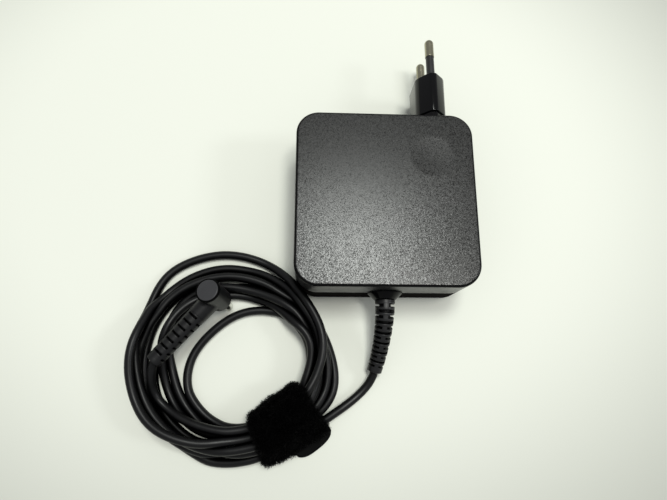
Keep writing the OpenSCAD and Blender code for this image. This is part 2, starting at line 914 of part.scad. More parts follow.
module power_switch() {
    color("#202022") power_package(switch_at);
}

module switch_heat_spreader() {
    color("#a9adb0") heat_plate(switch_at, switch_plate_l);
}

module output_rectifier() {
    color("#202022") power_package(rectifier_at);
}

module output_heat_spreader() {
    color("#a9adb0") heat_plate(rectifier_at, rectifier_plate_l);
}

// Two outer legs, one middle leg and the yokes above and below
core_room = core_w / 2 - 1.5 * core_leg;
core_rise = core_h - bobbin_t;
module transformer_core() {
    color("#3a3a3e")
        on_board(core_at)
            translate([0, 0, bobbin_t])
                difference() {
                    translate([-core_w / 2, -core_depth / 2, 0]) cube([core_w, core_depth, core_rise]);
                    for (x = [core_leg, -core_leg - core_room])
                        translate([x, -core_depth, core_leg / 2])
                            cube([core_room, 2 * core_depth, core_rise - core_leg]);
                }
}

module transformer_bobbin() {
    rail_l = core_w - 2 * bobbin_t;
    color("#23262b")
        on_board(core_at) {
            for (y = [core_depth / 2 + fit, -core_depth / 2 - fit - bobbin_rail])
                translate([-rail_l / 2, y, 0]) cube([rail_l, bobbin_rail, 2.5 * bobbin_t]);
            translate([-rail_l / 2, -core_depth / 2 - fit - eps, 0])
                cube([rail_l, core_depth + 2 * fit + 2 * eps, bobbin_t]);
            legs(bobbin_span, 0.5);
        }
}

// Taped winding round the middle leg
module transformer_winding() {
    outer = 2 * (core_leg + core_room - fit);
    inner = 2 * (core_leg + fit);
    height = core_rise - core_leg - fit;
    color("#d9c23c")
        on_board(core_at)
            translate([0, 0, bobbin_t + core_leg / 2])
                difference() {
                    translate([-outer / 2, -core_depth / 2 - core_room, 0])
                        cube([outer, core_depth + 2 * core_room, height]);
                    translate([-inner / 2, -core_depth / 2 - fit, -1])
                        cube([inner, core_depth + 2 * fit, height + 2]);
                }
}

module optocoupler() {
    color("#e2e0d8")
        on_board(opto_at) {
            translate([-opto_size[0] / 2, -opto_size[1] / 2, 0]) cube(opto_size);
            legs(opto_span, 0.5);
        }
}

module safety_capacitor() {
    color("#3a6ea8")
        on_board(ycap_at) {
            translate([0, ycap_t / 2, ycap_rise + ycap_d / 2])
                rotate([90, 0, 0])
                    cylinder(d = ycap_d, h = ycap_t);
            legs(ycap_span, ycap_rise + ycap_d / 6);
        }
}

module output_capacitors() {
    color("#1f2a44")
        for (dx = [0, ocap_pitch])
            on_board(ocap_at + [dx, 0]) {
                cylinder(d = ocap_d, h = ocap_h);
                legs(ocap_span, 0.5);
            }
}

module output_choke() {
    color("#8a4a28")
        on_board(ochoke_at) {
            cylinder(d = ochoke_d, h = ochoke_rim);
            cylinder(d = ochoke_d - 2 * ochoke_rim, h = ochoke_h);
            translate([0, 0, ochoke_h - ochoke_rim]) cylinder(d = ochoke_d, h = ochoke_rim);
            legs(ochoke_span, 0.5);
        }
}

// Inner end of the cord: sheath, then two wires down to the board
module cord_stub() {
    half = (wire_d + wire_gap) / 2;
    reach = stub_at[1] - stub_y;
    color("#2a2a2c")
        translate([outlet_x, stub_y, outlet_z])
            rotate([-90, 0, 0])
                cylinder(d = cord_d, h = stub_l);
    color("#7a1f1f")
        for (side = [-1, 1])
            translate([outlet_x + side * half, stub_y, outlet_z]) {
                rotate([-90, 0, 0]) cylinder(d = wire_d, h = reach + wire_d / 2);
                translate([0, reach, board_top - outlet_z])
                    cylinder(d = wire_d, h = outlet_z - board_top);
            }
    color("#b87333")
        on_board(stub_at) legs(wire_d + wire_gap, 0.5);
}

// Metal ring pressed on the sheath, which keeps the cord from being pulled out
module cord_clamp() {
    color("#b0b0ac")
        translate([outlet_x, stub_y, outlet_z])
            rotate([-90, 0, 0])
                difference() {
                    cylinder(d = cord_d + 2 * clamp_t, h = clamp_l);
                    translate([0, 0, -1]) cylinder(d = cord_d, h = clamp_l + 2);
                }
}

bottom_housing();
top_cover();
plug_head();
plug_pins();
pin_sleeves();
contact_springs();
output_collar();
strain_relief();
cord_lead();
cord_coil();
cord_tail();
cable_tie();
connector_body();
connector_cap();
connector_boot();
connector_barrel();
connector_insulator();
connector_contact();
circuit_board();
insulating_sheet();
fuse();
filter_capacitor();
line_choke_core();
line_choke_winding();
bridge_rectifier();
bulk_capacitor();
power_switch();
switch_heat_spreader();
transformer_core();
transformer_bobbin();
transformer_winding();
optocoupler();
safety_capacitor();
output_rectifier();
output_heat_spreader();
output_capacitors();
output_choke();
cord_stub();
cord_clamp();
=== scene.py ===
import math
from contextlib import contextmanager
from functools import partial

import bmesh
import bpy
import numpy as np
from bpy.props import FloatProperty, FloatVectorProperty, IntProperty, PointerProperty
from mathutils import Matrix, Vector, noise


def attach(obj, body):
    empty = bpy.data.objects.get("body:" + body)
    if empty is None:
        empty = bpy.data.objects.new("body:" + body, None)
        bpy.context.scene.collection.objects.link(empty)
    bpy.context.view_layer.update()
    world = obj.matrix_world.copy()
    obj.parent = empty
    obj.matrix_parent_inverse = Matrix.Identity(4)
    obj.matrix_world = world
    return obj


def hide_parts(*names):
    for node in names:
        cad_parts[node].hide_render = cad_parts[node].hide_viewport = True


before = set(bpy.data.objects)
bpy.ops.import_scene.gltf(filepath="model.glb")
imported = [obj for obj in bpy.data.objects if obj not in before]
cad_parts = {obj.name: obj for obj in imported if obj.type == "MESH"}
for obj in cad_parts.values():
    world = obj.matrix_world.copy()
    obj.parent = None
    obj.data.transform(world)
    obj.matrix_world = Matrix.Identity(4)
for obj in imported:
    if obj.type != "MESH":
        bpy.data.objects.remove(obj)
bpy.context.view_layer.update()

bl_info = {
    "name": "Laptop power adapter",
    "version": (1, 0, 0),
    "blender": (4, 5, 0),
    "location": "View3D > Sidebar > Adapter",
    "description": "Square power adapter with a mains plug, a tied coil of cord and a right-angle connector",
    "category": "Object",
}

MM = 0.001
BODY = "root"


def linear(hex_colour):
    """An sRGB hex colour as linear RGB."""
    parts = [int(hex_colour[i:i + 2], 16) / 255 for i in (1, 3, 5)]
    return tuple(c / 12.92 if c <= 0.04045 else ((c + 0.055) / 1.055) ** 2.4 for c in parts)


# ---- places, in millimetres, as the frame has them ----
HOUSING_HALF = 37.0
HOUSING_CORNER_R = 9.5
RIM_START_Z = 28.8
PLUG_X, PLUG_Z = 22.0, 15.0
PLUG_ROOT_Y, PLUG_NECK_Y, PLUG_END_Y = 36.2, 40.2, 58.6
PLUG_HALF_W, PLUG_HALF_H, PLUG_FLAT = 6.6, 13.0, 1.2
COIL_CENTRE = np.array([-63.0, -62.8])
# A shallow dish in the cover's top: its middle, its radius and how far its side leans, in radians
DISH_CENTRE, DISH_RADIUS, DISH_LEAN = (19.3, 18.0, 30.0), 9.2, 0.046
KNOB = np.array([-68.9, -39.2, 15.3])
KNOB_TURN, KNOB_DIP, KNOB_ROLL = 228.5, 1.0, 15.0
RELIEF_CURVE = np.array([[0.5, -40, 14.5], [0.5, -50, 14.5], [-0.6, -60, 7.2], [-3.2, -68.5, 4.4]])
RELIEF_LENGTH = 30.6
BOOT_NECK, BOOT_RIBBED = 10.0, 22.0
TIE_ANGLE = -50.5
# The tied turns' middle, in the tie's own axes
BUNDLE_X, BUNDLE_Y, BUNDLE_Z = 36.5, 0.8, 6.0
TABLE_GAP = 0.05


def length(name, description, default, low, high):
    """A length's property, from millimetres."""
    return FloatProperty(
        name=name, description=description, default=default * MM, min=low * MM, max=high * MM, unit="LENGTH")


def colour(name, what, hex_colour):
    """A colour's property."""
    return FloatVectorProperty(
        name=name, description="Colour of " + what, default=linear(hex_colour), size=3, subtype="COLOR",
        min=0, max=1)


class AdapterSizes(bpy.types.PropertyGroup):
    cord_diameter: length("Cord diameter", "Outside diameter of the output cord", 3.6, 3, 4)
    settle_steps: IntProperty(
        name="Settling steps", description="How long the turns of the coil are left to settle on each other",
        default=600, min=400, max=1200)
    edge_rounding: length("Edge rounding", "Radius on the moulded edges", 0.25, 0.1, 0.5)
    rib_rounding: length("Rib rounding", "Radius on the ribs of both bending boots", 0.3, 0.1, 0.4)
    strap_thickness: length("Strap thickness", "Thickness of the cord tie without its pile", 1.2, 0.8, 1.5)
    strap_width: length("Strap width", "Width of the cord tie along the cord", 25, 20, 30)
    pile_length: length("Pile length", "Length of one fibre of the tie's pile", 2, 1, 3)
    pile_density: FloatProperty(
        name="Pile density", description="Fibres on each square millimetre of the tie",
        default=8.0, min=2.0, max=10.0)
    pile_seed: IntProperty(
        name="Pile seed", description="Seed of the fibres' places and lean", default=7, min=0)


class AdapterColours(bpy.types.PropertyGroup):
    housing: colour("Housing", "the textured cover", "#272726")
    gloss: colour("Gloss plastic", "the plug and the collar", "#060607")
    cord: colour("Cord", "the cord's jacket", "#070708")
    boot: colour("Boots", "the bending boots and the connector", "#0f0f10")
    pile: colour("Tie", "the tie's pile", "#010101")
    pins: colour("Pins", "the plated pins", "#a5a18c")
    floor: colour("Floor", "the table", "#f1f3e8")


def colours():
    return bpy.context.scene.adapter_colours


def sizes():
    return bpy.context.scene.adapter_sizes


# ---- node trees ----
def add(tree, kind, inputs=None, **settings):
    """Adds a node and returns its outputs. The kind of a shader node goes without ShaderNode.

    An input is given as a value, as a socket, or as another node's outputs, of which it takes the first.
    A list of these goes to an input that takes several links.
    """
    other = kind.startswith(("GeometryNode", "FunctionNode", "NodeGroup"))
    node = tree.nodes.new(kind if other else "ShaderNode" + kind)
    for name, value in settings.items():
        setattr(node, name, value)
    for key, given in (inputs or {}).items():
        for value in given if isinstance(given, list) else [given]:
            if isinstance(value, bpy.types.bpy_prop_collection):
                value = value[0]
            if isinstance(value, bpy.types.NodeSocket):
                tree.links.new(value, node.inputs[key])
            else:
                node.inputs[key].default_value = value
    return node.outputs


def blank_material(name):
    """A material without a surface yet, what adds its nodes, and the place on the object."""
    material = bpy.data.materials.new(name)
    material.use_nodes = True
    material.node_tree.nodes.clear()
    node = partial(add, material.node_tree)
    return material, node, node("TexCoord")["Object"]


def moulded(name, tone, roughness, grain_mm, relief_mm, mottle=0.15, metallic=0.0, stretch=(1, 1, 1),
            specular=0.5, patch_mm=None, painted_shade_mm=None, flat_gloss=None):
    """A finish with a grain of a real size: mottled colour, uneven gloss and a low relief.

    stretch draws the grain out along an axis, for brushed, drawn or wound surfaces.
    painted_shade_mm is the reach of painted shade: within it, neighbouring surfaces darken the colour and
    gloss of a hollow.
    flat_gloss is a share of gloss that doesn't grow at a grazing angle, as a dull mould leaves it.
    """
    noise_range = {"From Min": 0.3, "From Max": 0.7}
    uneven, least_rough, patch_grains, hollow_power = 0.05, 0.03, 14, 1.6
    material, node, place = blank_material(name)
    grain = node("TexNoise", {
        "Vector": node("Mapping", {"Vector": place, "Scale": stretch}),
        "Scale": 1 / (grain_mm * MM), "Roughness": 0.55})
    patches = node("TexNoise", {
        "Vector": place, "Scale": 1 / ((patch_mm or patch_grains * grain_mm) * MM), "Detail": 3.0})
    both = node("Mix", {0: 0.5, 2: grain, 3: patches})
    light, dark = [(*[min(1, c * (1 + m)) for c in tone], 1) for m in (mottle, -mottle)]
    tinted = node("Mix", {
        "Factor": node("MapRange", {"Value": both, **noise_range}), 6: dark, 7: light},
        data_type="RGBA")[2]
    gloss = node("MapRange", {
        "Value": patches, **noise_range,
        "To Min": max(least_rough, roughness - uneven), "To Max": min(1.0, roughness + uneven)})
    bump = node("Bump", {"Height": grain, "Distance": relief_mm * MM})
    shine = specular
    # painted shade: colour and gloss darkened where neighbouring surfaces close in
    if painted_shade_mm:
        open_share = node("AmbientOcclusion", {"Distance": painted_shade_mm * MM}, samples=6)["AO"]
        lit = node("Math", {0: open_share, 1: hollow_power}, operation="POWER")
        tinted = node("Mix", {"Factor": lit, 6: (0, 0, 0, 1), 7: tinted}, data_type="RGBA")[2]
        shine = node("Math", {0: lit, 1: specular}, operation="MULTIPLY")
    if flat_gloss:
        surface = node("MixShader", {
            0: flat_gloss,
            1: node("BsdfDiffuse", {"Color": tinted, "Normal": bump}),
            2: node("BsdfAnisotropic", {"Roughness": gloss, "Normal": bump})})
    else:
        surface = node("BsdfPrincipled", {
            "Base Color": tinted, "Roughness": gloss, "Normal": bump, "Metallic": metallic,
            "Specular IOR Level": shine})
    node("OutputMaterial", {"Surface": surface})
    return material


def spark_textured(name, tone, roughness, cell_mm, tilt):
    """A spark-eroded surface: small cells, each a little tilted and each a little duller or brighter."""
    dullest, brightest = (0.15, 0.0612), (2.2, 0.6188)  # share of the tone, and specular level
    dish_edge = 0.86, 1.06  # of its radius
    material, node, place = blank_material(name)
    cells = node("TexVoronoi", {"Vector": place, "Scale": 1 / (cell_mm * MM)})["Color"]
    lean = node("VectorMath", {0: cells, 1: (0.5, 0.5, 0.5)}, operation="SUBTRACT")
    tilted = node("VectorMath", {
        0: lean, 1: (tilt, tilt, tilt), 2: node("NewGeometry")["Normal"]}, operation="MULTIPLY_ADD")
    # a shallow round dish, its sides leaning towards its middle
    out = node("VectorMath", {0: place, 1: Vector(DISH_CENTRE) * MM}, operation="SUBTRACT")
    inside = node("MapRange", {
        "Value": node("VectorMath", {0: out}, operation="LENGTH")["Value"],
        "From Min": dish_edge[0] * DISH_RADIUS * MM, "From Max": dish_edge[1] * DISH_RADIUS * MM,
        "To Min": -DISH_LEAN / (DISH_RADIUS * MM), "To Max": 0.0}, interpolation_type="SMOOTHSTEP")
    dished = node("VectorMath", {0: out, "Scale": inside}, operation="SCALE")
    normal = node("VectorMath", {0: tilted, 1: dished}, operation="ADD")
    shade = node("SeparateColor", {"Color": cells})["Green"]
    dark, light = [(*[tone_share * c for c in tone], 1) for tone_share, _ in (dullest, brightest)]
    shader = node("BsdfPrincipled", {
        "Base Color": node("Mix", {"Factor": shade, 6: dark, 7: light}, data_type="RGBA")[2],
        "Roughness": roughness,
        "Normal": node("VectorMath", {0: normal}, operation="NORMALIZE"),
        "Specular IOR Level": node("MapRange", {
            "Value": shade, "To Min": dullest[1], "To Max": brightest[1]})})
    node("OutputMaterial", {"Surface": shader})
    return material


def geometry_group(name, inputs):
    """A Geometry Nodes group with named inputs besides its geometry, what adds its nodes, and its inputs."""
    tree = bpy.data.node_groups.new(name, "GeometryNodeTree")
    geometry = {"Geometry": "Geometry"}
    for way, sockets in (("INPUT", {**geometry, **inputs}), ("OUTPUT", geometry)):
        for label, kind in sockets.items():
            tree.interface.new_socket(label, in_out=way, socket_type="NodeSocket" + kind)
    return tree, partial(add, tree), add(tree, "NodeGroupInput")


def end_group(node, instances, material):
    """Ends a group with its instances made real and given their material."""
    real = node("GeometryNodeRealizeInstances", {"Geometry": instances})
    finish = node("GeometryNodeSetMaterial", {"Geometry": real, "Material": material})
    node("NodeGroupOutput", {"Geometry": finish})


# ---- meshes ----
def new_piece(name, data):
    piece = bpy.data.objects.new(name, data)
    bpy.context.scene.collection.objects.link(piece)
    return piece


def hand_over(piece, slot, *nodes):
    """Says what a piece rides on and which CAD nodes it replaces. The slot is not used."""
    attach(piece, BODY)
    if nodes:
        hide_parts(*nodes)


def finish(mesh, *materials):
    mesh.materials.clear()
    for material in materials:
        mesh.materials.append(material)


@contextmanager
def editing(mesh):
    """The mesh as a bmesh, written back at the end."""
    bm = bmesh.new()
    bm.from_mesh(mesh)
    yield bm
    bm.to_mesh(mesh)
    bm.free()


def mesh_from(name, verts_mm, faces):
    """A mesh from points in millimetres, with faces that point outwards."""
    mesh = bpy.data.meshes.new(name)
    mesh.from_pydata([Vector(v) * MM for v in verts_mm], [], faces)
    with editing(mesh) as bm:
        bmesh.ops.remove_doubles(bm, verts=bm.verts, dist=1e-7)
        bmesh.ops.recalc_face_normals(bm, faces=bm.faces)
    return mesh


def smooth(mesh, angle=40):
    mesh.polygons.foreach_set("use_smooth", [True] * len(mesh.polygons))
    mesh.set_sharp_from_angle(angle=math.radians(angle))
    mesh.update()


def finished_piece(name, verts_mm, faces, material, angle):
    """A piece from points in millimetres, smooth except where faces meet at more than the angle."""
    mesh = mesh_from(name, verts_mm, faces)
    smooth(mesh, angle)
    finish(mesh, material)
    return new_piece(name, mesh)


def ring_faces(rings, n):
    """Faces between rings of n points, each ring joined to the next."""
    return [(i * n + k, i * n + (k + 1) % n, i * n + (k + 1) % n + n, i * n + k + n)
            for i in range(rings - 1) for k in range(n)]


def path_curve(name, points_mm):
    """A curve straight from point to point."""
    curve = bpy.data.curves.new(name, "CURVE")
    curve.dimensions = "3D"
    line = curve.splines.new("POLY")
    line.points.add(len(points_mm) - 1)
    line.points.foreach_set("co", np.c_[np.array(points_mm) * MM, np.ones(len(points_mm))].ravel())
    return curve


def modified_mesh(piece):
    """The mesh that a piece's modifiers make of it."""
    bpy.context.view_layer.update()
    graph = bpy.context.evaluated_depsgraph_get()
    return bpy.data.meshes.new_from_object(piece.evaluated_get(graph), depsgraph=graph)


def settle_modifiers(piece):
    """Turns a piece with modifiers into a plain mesh."""
    old, mesh = piece.data, modified_mesh(piece)
    piece.modifiers.clear()
    piece.data = mesh
    bpy.data.meshes.remove(old)


def run_group(piece, tree, values):
    """Puts a Geometry Nodes group on a piece, with values for its named inputs."""
    modifier = piece.modifiers.new(tree.name, "NODES")
    modifier.node_group = tree
    for item in tree.interface.items_tree:
        if item.in_out == "INPUT" and item.name in values:
            modifier[item.identifier] = values[item.name]


def finished_copy(node, name, slot, *materials, rounding=None):
    """A copy of a CAD node with its edges rounded and its round faces smooth."""
    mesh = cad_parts[node].data.copy()
    with editing(mesh) as bm:
        bmesh.ops.remove_doubles(bm, verts=bm.verts, dist=2e-6)
        bmesh.ops.dissolve_limit(bm, angle_limit=math.radians(0.5), verts=bm.verts, edges=bm.edges)
    for attribute in [a.name for a in mesh.attributes if a.name.startswith("custom_normal")]:
        mesh.attributes.remove(mesh.attributes[attribute])
    piece = new_piece(name, mesh)
    bevel = piece.modifiers.new("rounding", "BEVEL")
    bevel.width = sizes().edge_rounding if rounding is None else rounding * MM
    bevel.segments = 2
    bevel.limit_method = "ANGLE"
    bevel.angle_limit = math.radians(40)
    bevel.use_clamp_overlap = True
    settle_modifiers(piece)
    smooth(piece.data)
    piece.modifiers.new("flat faces", "WEIGHTED_NORMAL").keep_sharp = True
    settle_modifiers(piece)
    finish(piece.data, *materials)
    hand_over(piece, slot, node)
    return piece


# ---- cord ----
# Plan radius of each turn of the coil, every 30 degrees clockwise from the tie, first turn first
TURN_RADII = (
    (42.3, 41.5, 39.8, 38.0, 36.8, 36.0, 35.2, 34.3, 33.5, 34.0, 36.0, 34.0),
    (31.2, 29.0, 26.6, 22.4, 17.8, 14.5, 13.5, 15.6, 20.4, 27.8, 32.7, 34.5),
    (34.9, 37.8, 38.5, 38.5, 38.0, 37.0, 35.5, 34.0, 33.2, 34.5, 40.0, 44.5),
    (39.0, 38.0, 36.0, 35.0, 32.5, 28.8, 27.6, 28.8, 30.5, 32.5, 38.0, 42.0),
    (37.0, 34.0, 29.0, 26.0, 25.2, 28.4, 31.3, 29.2, 28.5, 31.0, 35.0, 38.0),
    (34.5, 31.0, 31.0, 29.5, 28.3, 28.6, 28.6, 26.6, 26.0, 28.5, 33.5, 32.5),
    (34.0, 32.3, 35.0, 39.0, 39.3, 38.6, 38.9, 38.2, 36.5, 36.0, 36.9, 37.0),
    (37.5, 36.0, 36.5, 37.0, 37.3, 39.8, 45.5, 44.6, 41.8, 38.5, 38.6, 35.2),
)
# The last turn starts lower on the far side, where the turn before it lies on top
LAST_TURN_LEVELS = {0: 6.2, 1: 5.3, 2: 5.3, 3: 5.3, 4: 5.3, 5: 5.6}
LEVEL_STEP = 3.8
# Angle of a turn's first point, and from one point to the next, in degrees
TURN_START, TURN_STEP = -50, -30
# The lead: where on the relief its direction is taken and how far it runs straight on, then its points from
# the relief's end and its points on the table
LEAD_FROM, LEAD_STRAIGHT = 28, 3
LEAD_OUT = ((-3.4, -6.5, -2.0), (-7.0, -10.3, -2.5))
LEAD_IN = ((-15.5, -82.6, 1.85), (-20.5, -86.0, 1.85))
# After the last turn: angle from the coil's centre, radius, and height before it settles
TAIL_TURN = (
    (-50, 31.0, 32.3), (-80, 29.5, 32.3), (-105, 28.8, 29.3), (-128, 30.4, 26.3), (-146, 32.8, 24.0))
TAIL_END = ((-92.4, -78.3, 22.0), (-93.3, -74.3, 19.0), (-92.9, -70.0, 15.5))
# The cord's end in the connector's boot, from the knob's middle
CORD_END = (32.4, 30)

# How the coil settles: how far the cord sinks in a step, at first and in the last steps
SINK, LAST_SINK, LAST_STEPS = 0.1, 0.02, 120
# the share of its way back to its place in plan, and how often and how strongly its bends are evened out
PULL, EVEN_ROUNDS, EVEN_SHARE = 0.3, 16, 0.1
# how often near points are looked up, how far beyond touching, and how many points along they begin
LOOK_EVERY, LOOK_BEYOND, LOOK_AHEAD = 5, 2.5, 8
# how often and how strongly touching turns are pushed apart, and how much several pushes add up
PUSH_ROUNDS, PUSH_SHARE, PUSH_SUM = 2, 0.35, 1.6
# how high the turns ride over the strap, from and over how many degrees beside it, within what radius
STRAP_LIFT, STRAP_ANGLE, STRAP_RAMP, STRAP_RADIUS = 1.3, 60, 34, 52
# how high the connector starts, over how many steps it comes down, and when the turns begin to avoid it
KNOB_LIFT, KNOB_STEPS, KNOB_FROM = 18.0, 300, 330
# its boot, knob and barrel as rods with round ends: from, to and radius, from the knob's middle
KNOB_RODS = (
    ((6, 0, 0), (35, 0, 0), 3.75), ((0, 0, -1.5), (0, 0, 4), 4.85), ((0, 0, -5), (0, 0, -14.9), 2.05))
# how far apart the cord's points are, and how many of the last ones lie in the boot
SPACING, IN_BOOT = 2.0, 18


def from_connector(point):
    """A point given from the connector's middle, with X along its boot, in the frame."""
    turn = (Matrix.Rotation(math.radians(KNOB_TURN), 3, "Z")
            @ Matrix.Rotation(math.radians(KNOB_DIP), 3, "Y")
            @ Matrix.Rotation(math.radians(KNOB_ROLL), 3, "X"))
    return KNOB + np.array(turn @ Vector(point))


def bezier(p, t):
    return p[0] * (1 - t) ** 3 + 3 * p[1] * t * (1 - t) ** 2 + 3 * p[2] * t * t * (1 - t) + p[3] * t ** 3


def spline(points, step):
    """Catmull-Rom through the points, at even steps."""
    p = np.vstack([2 * points[0] - points[1], points, 2 * points[-1] - points[-2]])
    out = []
    for i in range(1, len(p) - 2):
        for t in np.linspace(0, 1, 24, endpoint=False):
            out.append(0.5 * (2 * p[i] + (p[i + 1] - p[i - 1]) * t
                              + (2 * p[i - 1] - 5 * p[i] + 4 * p[i + 1] - p[i + 2]) * t * t
                              + (-p[i - 1] + 3 * p[i] - 3 * p[i + 1] + p[i + 2]) * t ** 3))
    out = np.array([*out, p[-2]])
    along = np.r_[0, np.cumsum(np.linalg.norm(np.diff(out, axis=0), axis=1))]
    at = np.linspace(0, along[-1], int(round(along[-1] / step)) + 1)
    return np.stack([np.interp(at, along, out[:, k]) for k in range(3)], 1)


def coil_point(angle, r, z):
    """A point at an angle in degrees and a radius from the coil's centre."""
    a = math.radians(angle)
    return np.array([*(COIL_CENTRE + r * np.array([math.cos(a), math.sin(a)])), z])


def cord_route(radius):
    """The cord's route before it settles, with each turn laid above the one before."""
    relief_end = RELIEF_CURVE[3]
    out = relief_end - bezier(RELIEF_CURVE, LEAD_FROM / RELIEF_LENGTH)
    out /= np.linalg.norm(out)
    points = [relief_end, relief_end + LEAD_STRAIGHT * out]
    points += [relief_end + np.array(p) for p in LEAD_OUT] + [np.array(p) for p in LEAD_IN]
    for turn, radii in enumerate(TURN_RADII):
        for step, r in enumerate(radii):
            level = LAST_TURN_LEVELS.get(step, turn) if turn == len(TURN_RADII) - 1 else turn
            height = radius + TABLE_GAP + LEVEL_STEP * level
            points.append(coil_point(TURN_START + TURN_STEP * step, r, height))
    points += [coil_point(*p) for p in TAIL_TURN] + [np.array(p) for p in TAIL_END]
    points += [from_connector((x, 0, 0)) for x in CORD_END]
    return np.array(points, float)


def keep_off_rod(points, a, b, reach, free):
    """Moves points out of a rod with round ends."""
    along = b - a
    t = np.clip(((points - a) @ along) / (along @ along), 0, 1)
    away = points - (a + t[:, None] * along)
    far = np.linalg.norm(away, axis=1)
    hit = (far < reach) & free
    points[hit] += away[hit] / far[hit, None] * (reach - far[hit, None])


def settled_cord(d, steps):
    """Lets the cord's turns sink onto the table and each other, without passing through anything.

    Each step lowers the cord a little, draws it towards its place in plan, evens out its bends, and
    pushes apart what comes closer than a diameter. The connector is laid on it halfway through.
    """
    radius, reach = d / 2, d + 2 * TABLE_GAP
    p = spline(cord_route(radius), SPACING)
    n = len(p)
    plan = p[:, :2].copy()
    start, end = p[:3].copy(), p[-2:].copy()
    loose = np.arange(n) < n - IN_BOOT
    from_centre = p[:, :2] - COIL_CENTRE
    bearing = np.degrees(np.arctan2(from_centre[:, 1], from_centre[:, 0]))
    away = np.abs((bearing - TIE_ANGLE + 180) % 360 - 180)
    x = np.clip((STRAP_ANGLE - away) / STRAP_RAMP, 0, 1)
    over_strap = STRAP_LIFT * x * x * (3 - 2 * x) * (np.linalg.norm(from_centre, axis=1) < STRAP_RADIUS)
    floor = radius + TABLE_GAP + over_strap
    corner = np.array([1, 1]) * (HOUSING_CORNER_R - HOUSING_HALF)
    corner_r = HOUSING_CORNER_R + radius + TABLE_GAP
    wall = -HOUSING_HALF - radius - TABLE_GAP
    beside = -30  # the walls hold back only what has come no further in than this
    for step in range(steps):
        p[:, 2] -= SINK if step < steps - LAST_STEPS else LAST_SINK
        p[:, :2] += PULL * (plan - p[:, :2])
        for _ in range(EVEN_ROUNDS):
            bend = np.zeros_like(p)
            bend[1:-1] = p[:-2] - 2 * p[1:-1] + p[2:]
            change = np.zeros_like(p)
            change[1:-1] = bend[:-2] - 2 * bend[1:-1] + bend[2:]
            p[2:-2] -= EVEN_SHARE * change[2:-2]
        if step % LOOK_EVERY == 0:
            i, j = np.nonzero(((p[:, None, :] - p[None, :, :]) ** 2).sum(2) < (reach + LOOK_BEYOND) ** 2)
            i, j = i[j - i > LOOK_AHEAD], j[j - i > LOOK_AHEAD]
        for _ in range(PUSH_ROUNDS):
            apart = p[i] - p[j]
            gap = np.linalg.norm(apart, axis=1)
            hit = gap < reach
            push = apart[hit] / np.maximum(gap[hit], 1e-6)[:, None]
            push = push * ((reach - gap[hit]) * PUSH_SHARE)[:, None]
            total, count = np.zeros_like(p), np.zeros(n)
            np.add.at(total, i[hit], push)
            np.add.at(total, j[hit], -push)
            np.add.at(count, i[hit], 1)
            np.add.at(count, j[hit], 1)
            p += total / np.maximum(count, 1)[:, None] * np.minimum(count, PUSH_SUM)[:, None]
        p[:, 2] = np.maximum(p[:, 2], floor)
        q = p[:, :2] - corner
        far = np.linalg.norm(q, axis=1)
        hit = (q[:, 0] < 0) & (q[:, 1] < 0) & (far < corner_r)
        p[hit, :2] = corner + q[hit] / far[hit, None] * corner_r
        for axis in (0, 1):
            p[(p[:, 1 - axis] > corner[axis]) & (p[:, axis] > wall) & (p[:, axis] < beside), axis] = wall
        if step > KNOB_FROM:
            for a, b, rod_r in KNOB_RODS:
                keep_off_rod(p, from_connector(a), from_connector(b), rod_r + radius, loose)
        lift = KNOB_LIFT * max(0, 1 - step / KNOB_STEPS)
        p[:3], p[-2:] = start, end + np.array([0, 0, lift])
    return p


cord_points = []


class ADAPTER_OT_view(bpy.types.Operator):
    """Adds the camera that looks down on the adapter"""
    bl_idname = "adapter.view"
    bl_label = "Camera"

    def execute(self, context):
        roll, pitch, yaw = 0.013, 0.242, -0.046
        data = bpy.data.cameras.new("camera")
        data.sensor_width = 36.0
        data.lens = 25.65
        data.clip_start = 0.01
        camera = new_piece("camera", data)
        turn = Matrix.Rotation(roll, 3, "Z") @ Matrix.Rotation(pitch, 3, "X") @ Matrix.Rotation(yaw, 3, "Y")
        camera.matrix_world = Matrix.Translation(Vector((-29.443, -67.159, 209.358)) * MM) @ turn.to_4x4()
        context.scene.camera = camera
        return {"FINISHED"}


class ADAPTER_OT_cord(bpy.types.Operator):
    """Lays the output cord, from the strain relief through the coil to the connector"""
    bl_idname = "adapter.cord"
    bl_label = "Cord"

    def execute(self, context):
        diameter = sizes().cord_diameter
        cord_points[:] = settled_cord(diameter / MM, sizes().settle_steps).tolist()
        curve = path_curve("cord", cord_points)
        curve.bevel_depth = diameter / 2
        curve.bevel_resolution = 4
        curve.use_fill_caps = True
        # PVC jacket, extruded: satin, with the faint lengthwise unevenness of the die, and painted shade
        # where turns lie close together
        finish(curve, moulded("pvc_cord_jacket", colours().cord, 0.4, 0.5, 0.01, mottle=0.2, patch_mm=5,
                              specular=0.31, painted_shade_mm=5))
        hand_over(new_piece("cord", curve), "cord_jacket", "cord_lead", "cord_coil", "cord_tail")
        return {"FINISHED"}


# ---- cord tie ----
# The strap's two edges run aslant over the turns. For each: a distance from the coil's centre, the edge's
# place along the cord there, and how this changes outwards
STRAP_EDGES = ((26, -8.4, -0.34), (28, 15.2, -0.13))
# The distances between which they do so. The second edge curves back inwards of the third one
STRAP_INNER_X, STRAP_OUTER_X, STRAP_CURVE_X, STRAP_CURVE = 25.5, 46, 29.5, 0.22


def tie_frame():
    """The tie's own axes: X away from the coil's centre, Y along the cord."""
    a = math.radians(TIE_ANGLE)
    return np.array([[math.cos(a), math.sin(a), 0], [-math.sin(a), math.cos(a), 0], [0, 0, 1]])


def from_tie(points):
    """Points given from the coil's centre in the tie's axes, in the frame."""
    return np.array(points) @ tie_frame() + np.array([*COIL_CENTRE, 0])


def slant(x, share):
    """How far along the cord a place on the strap lies, at a share of its width, as its ends run aslant."""
    x = np.clip(x, STRAP_INNER_X, STRAP_OUTER_X)
    first, last = [place + change * (x - at) for at, place, change in STRAP_EDGES]
    last = last - STRAP_CURVE * np.maximum(0, STRAP_CURVE_X - x) ** 2
    return first + (last - first) * share


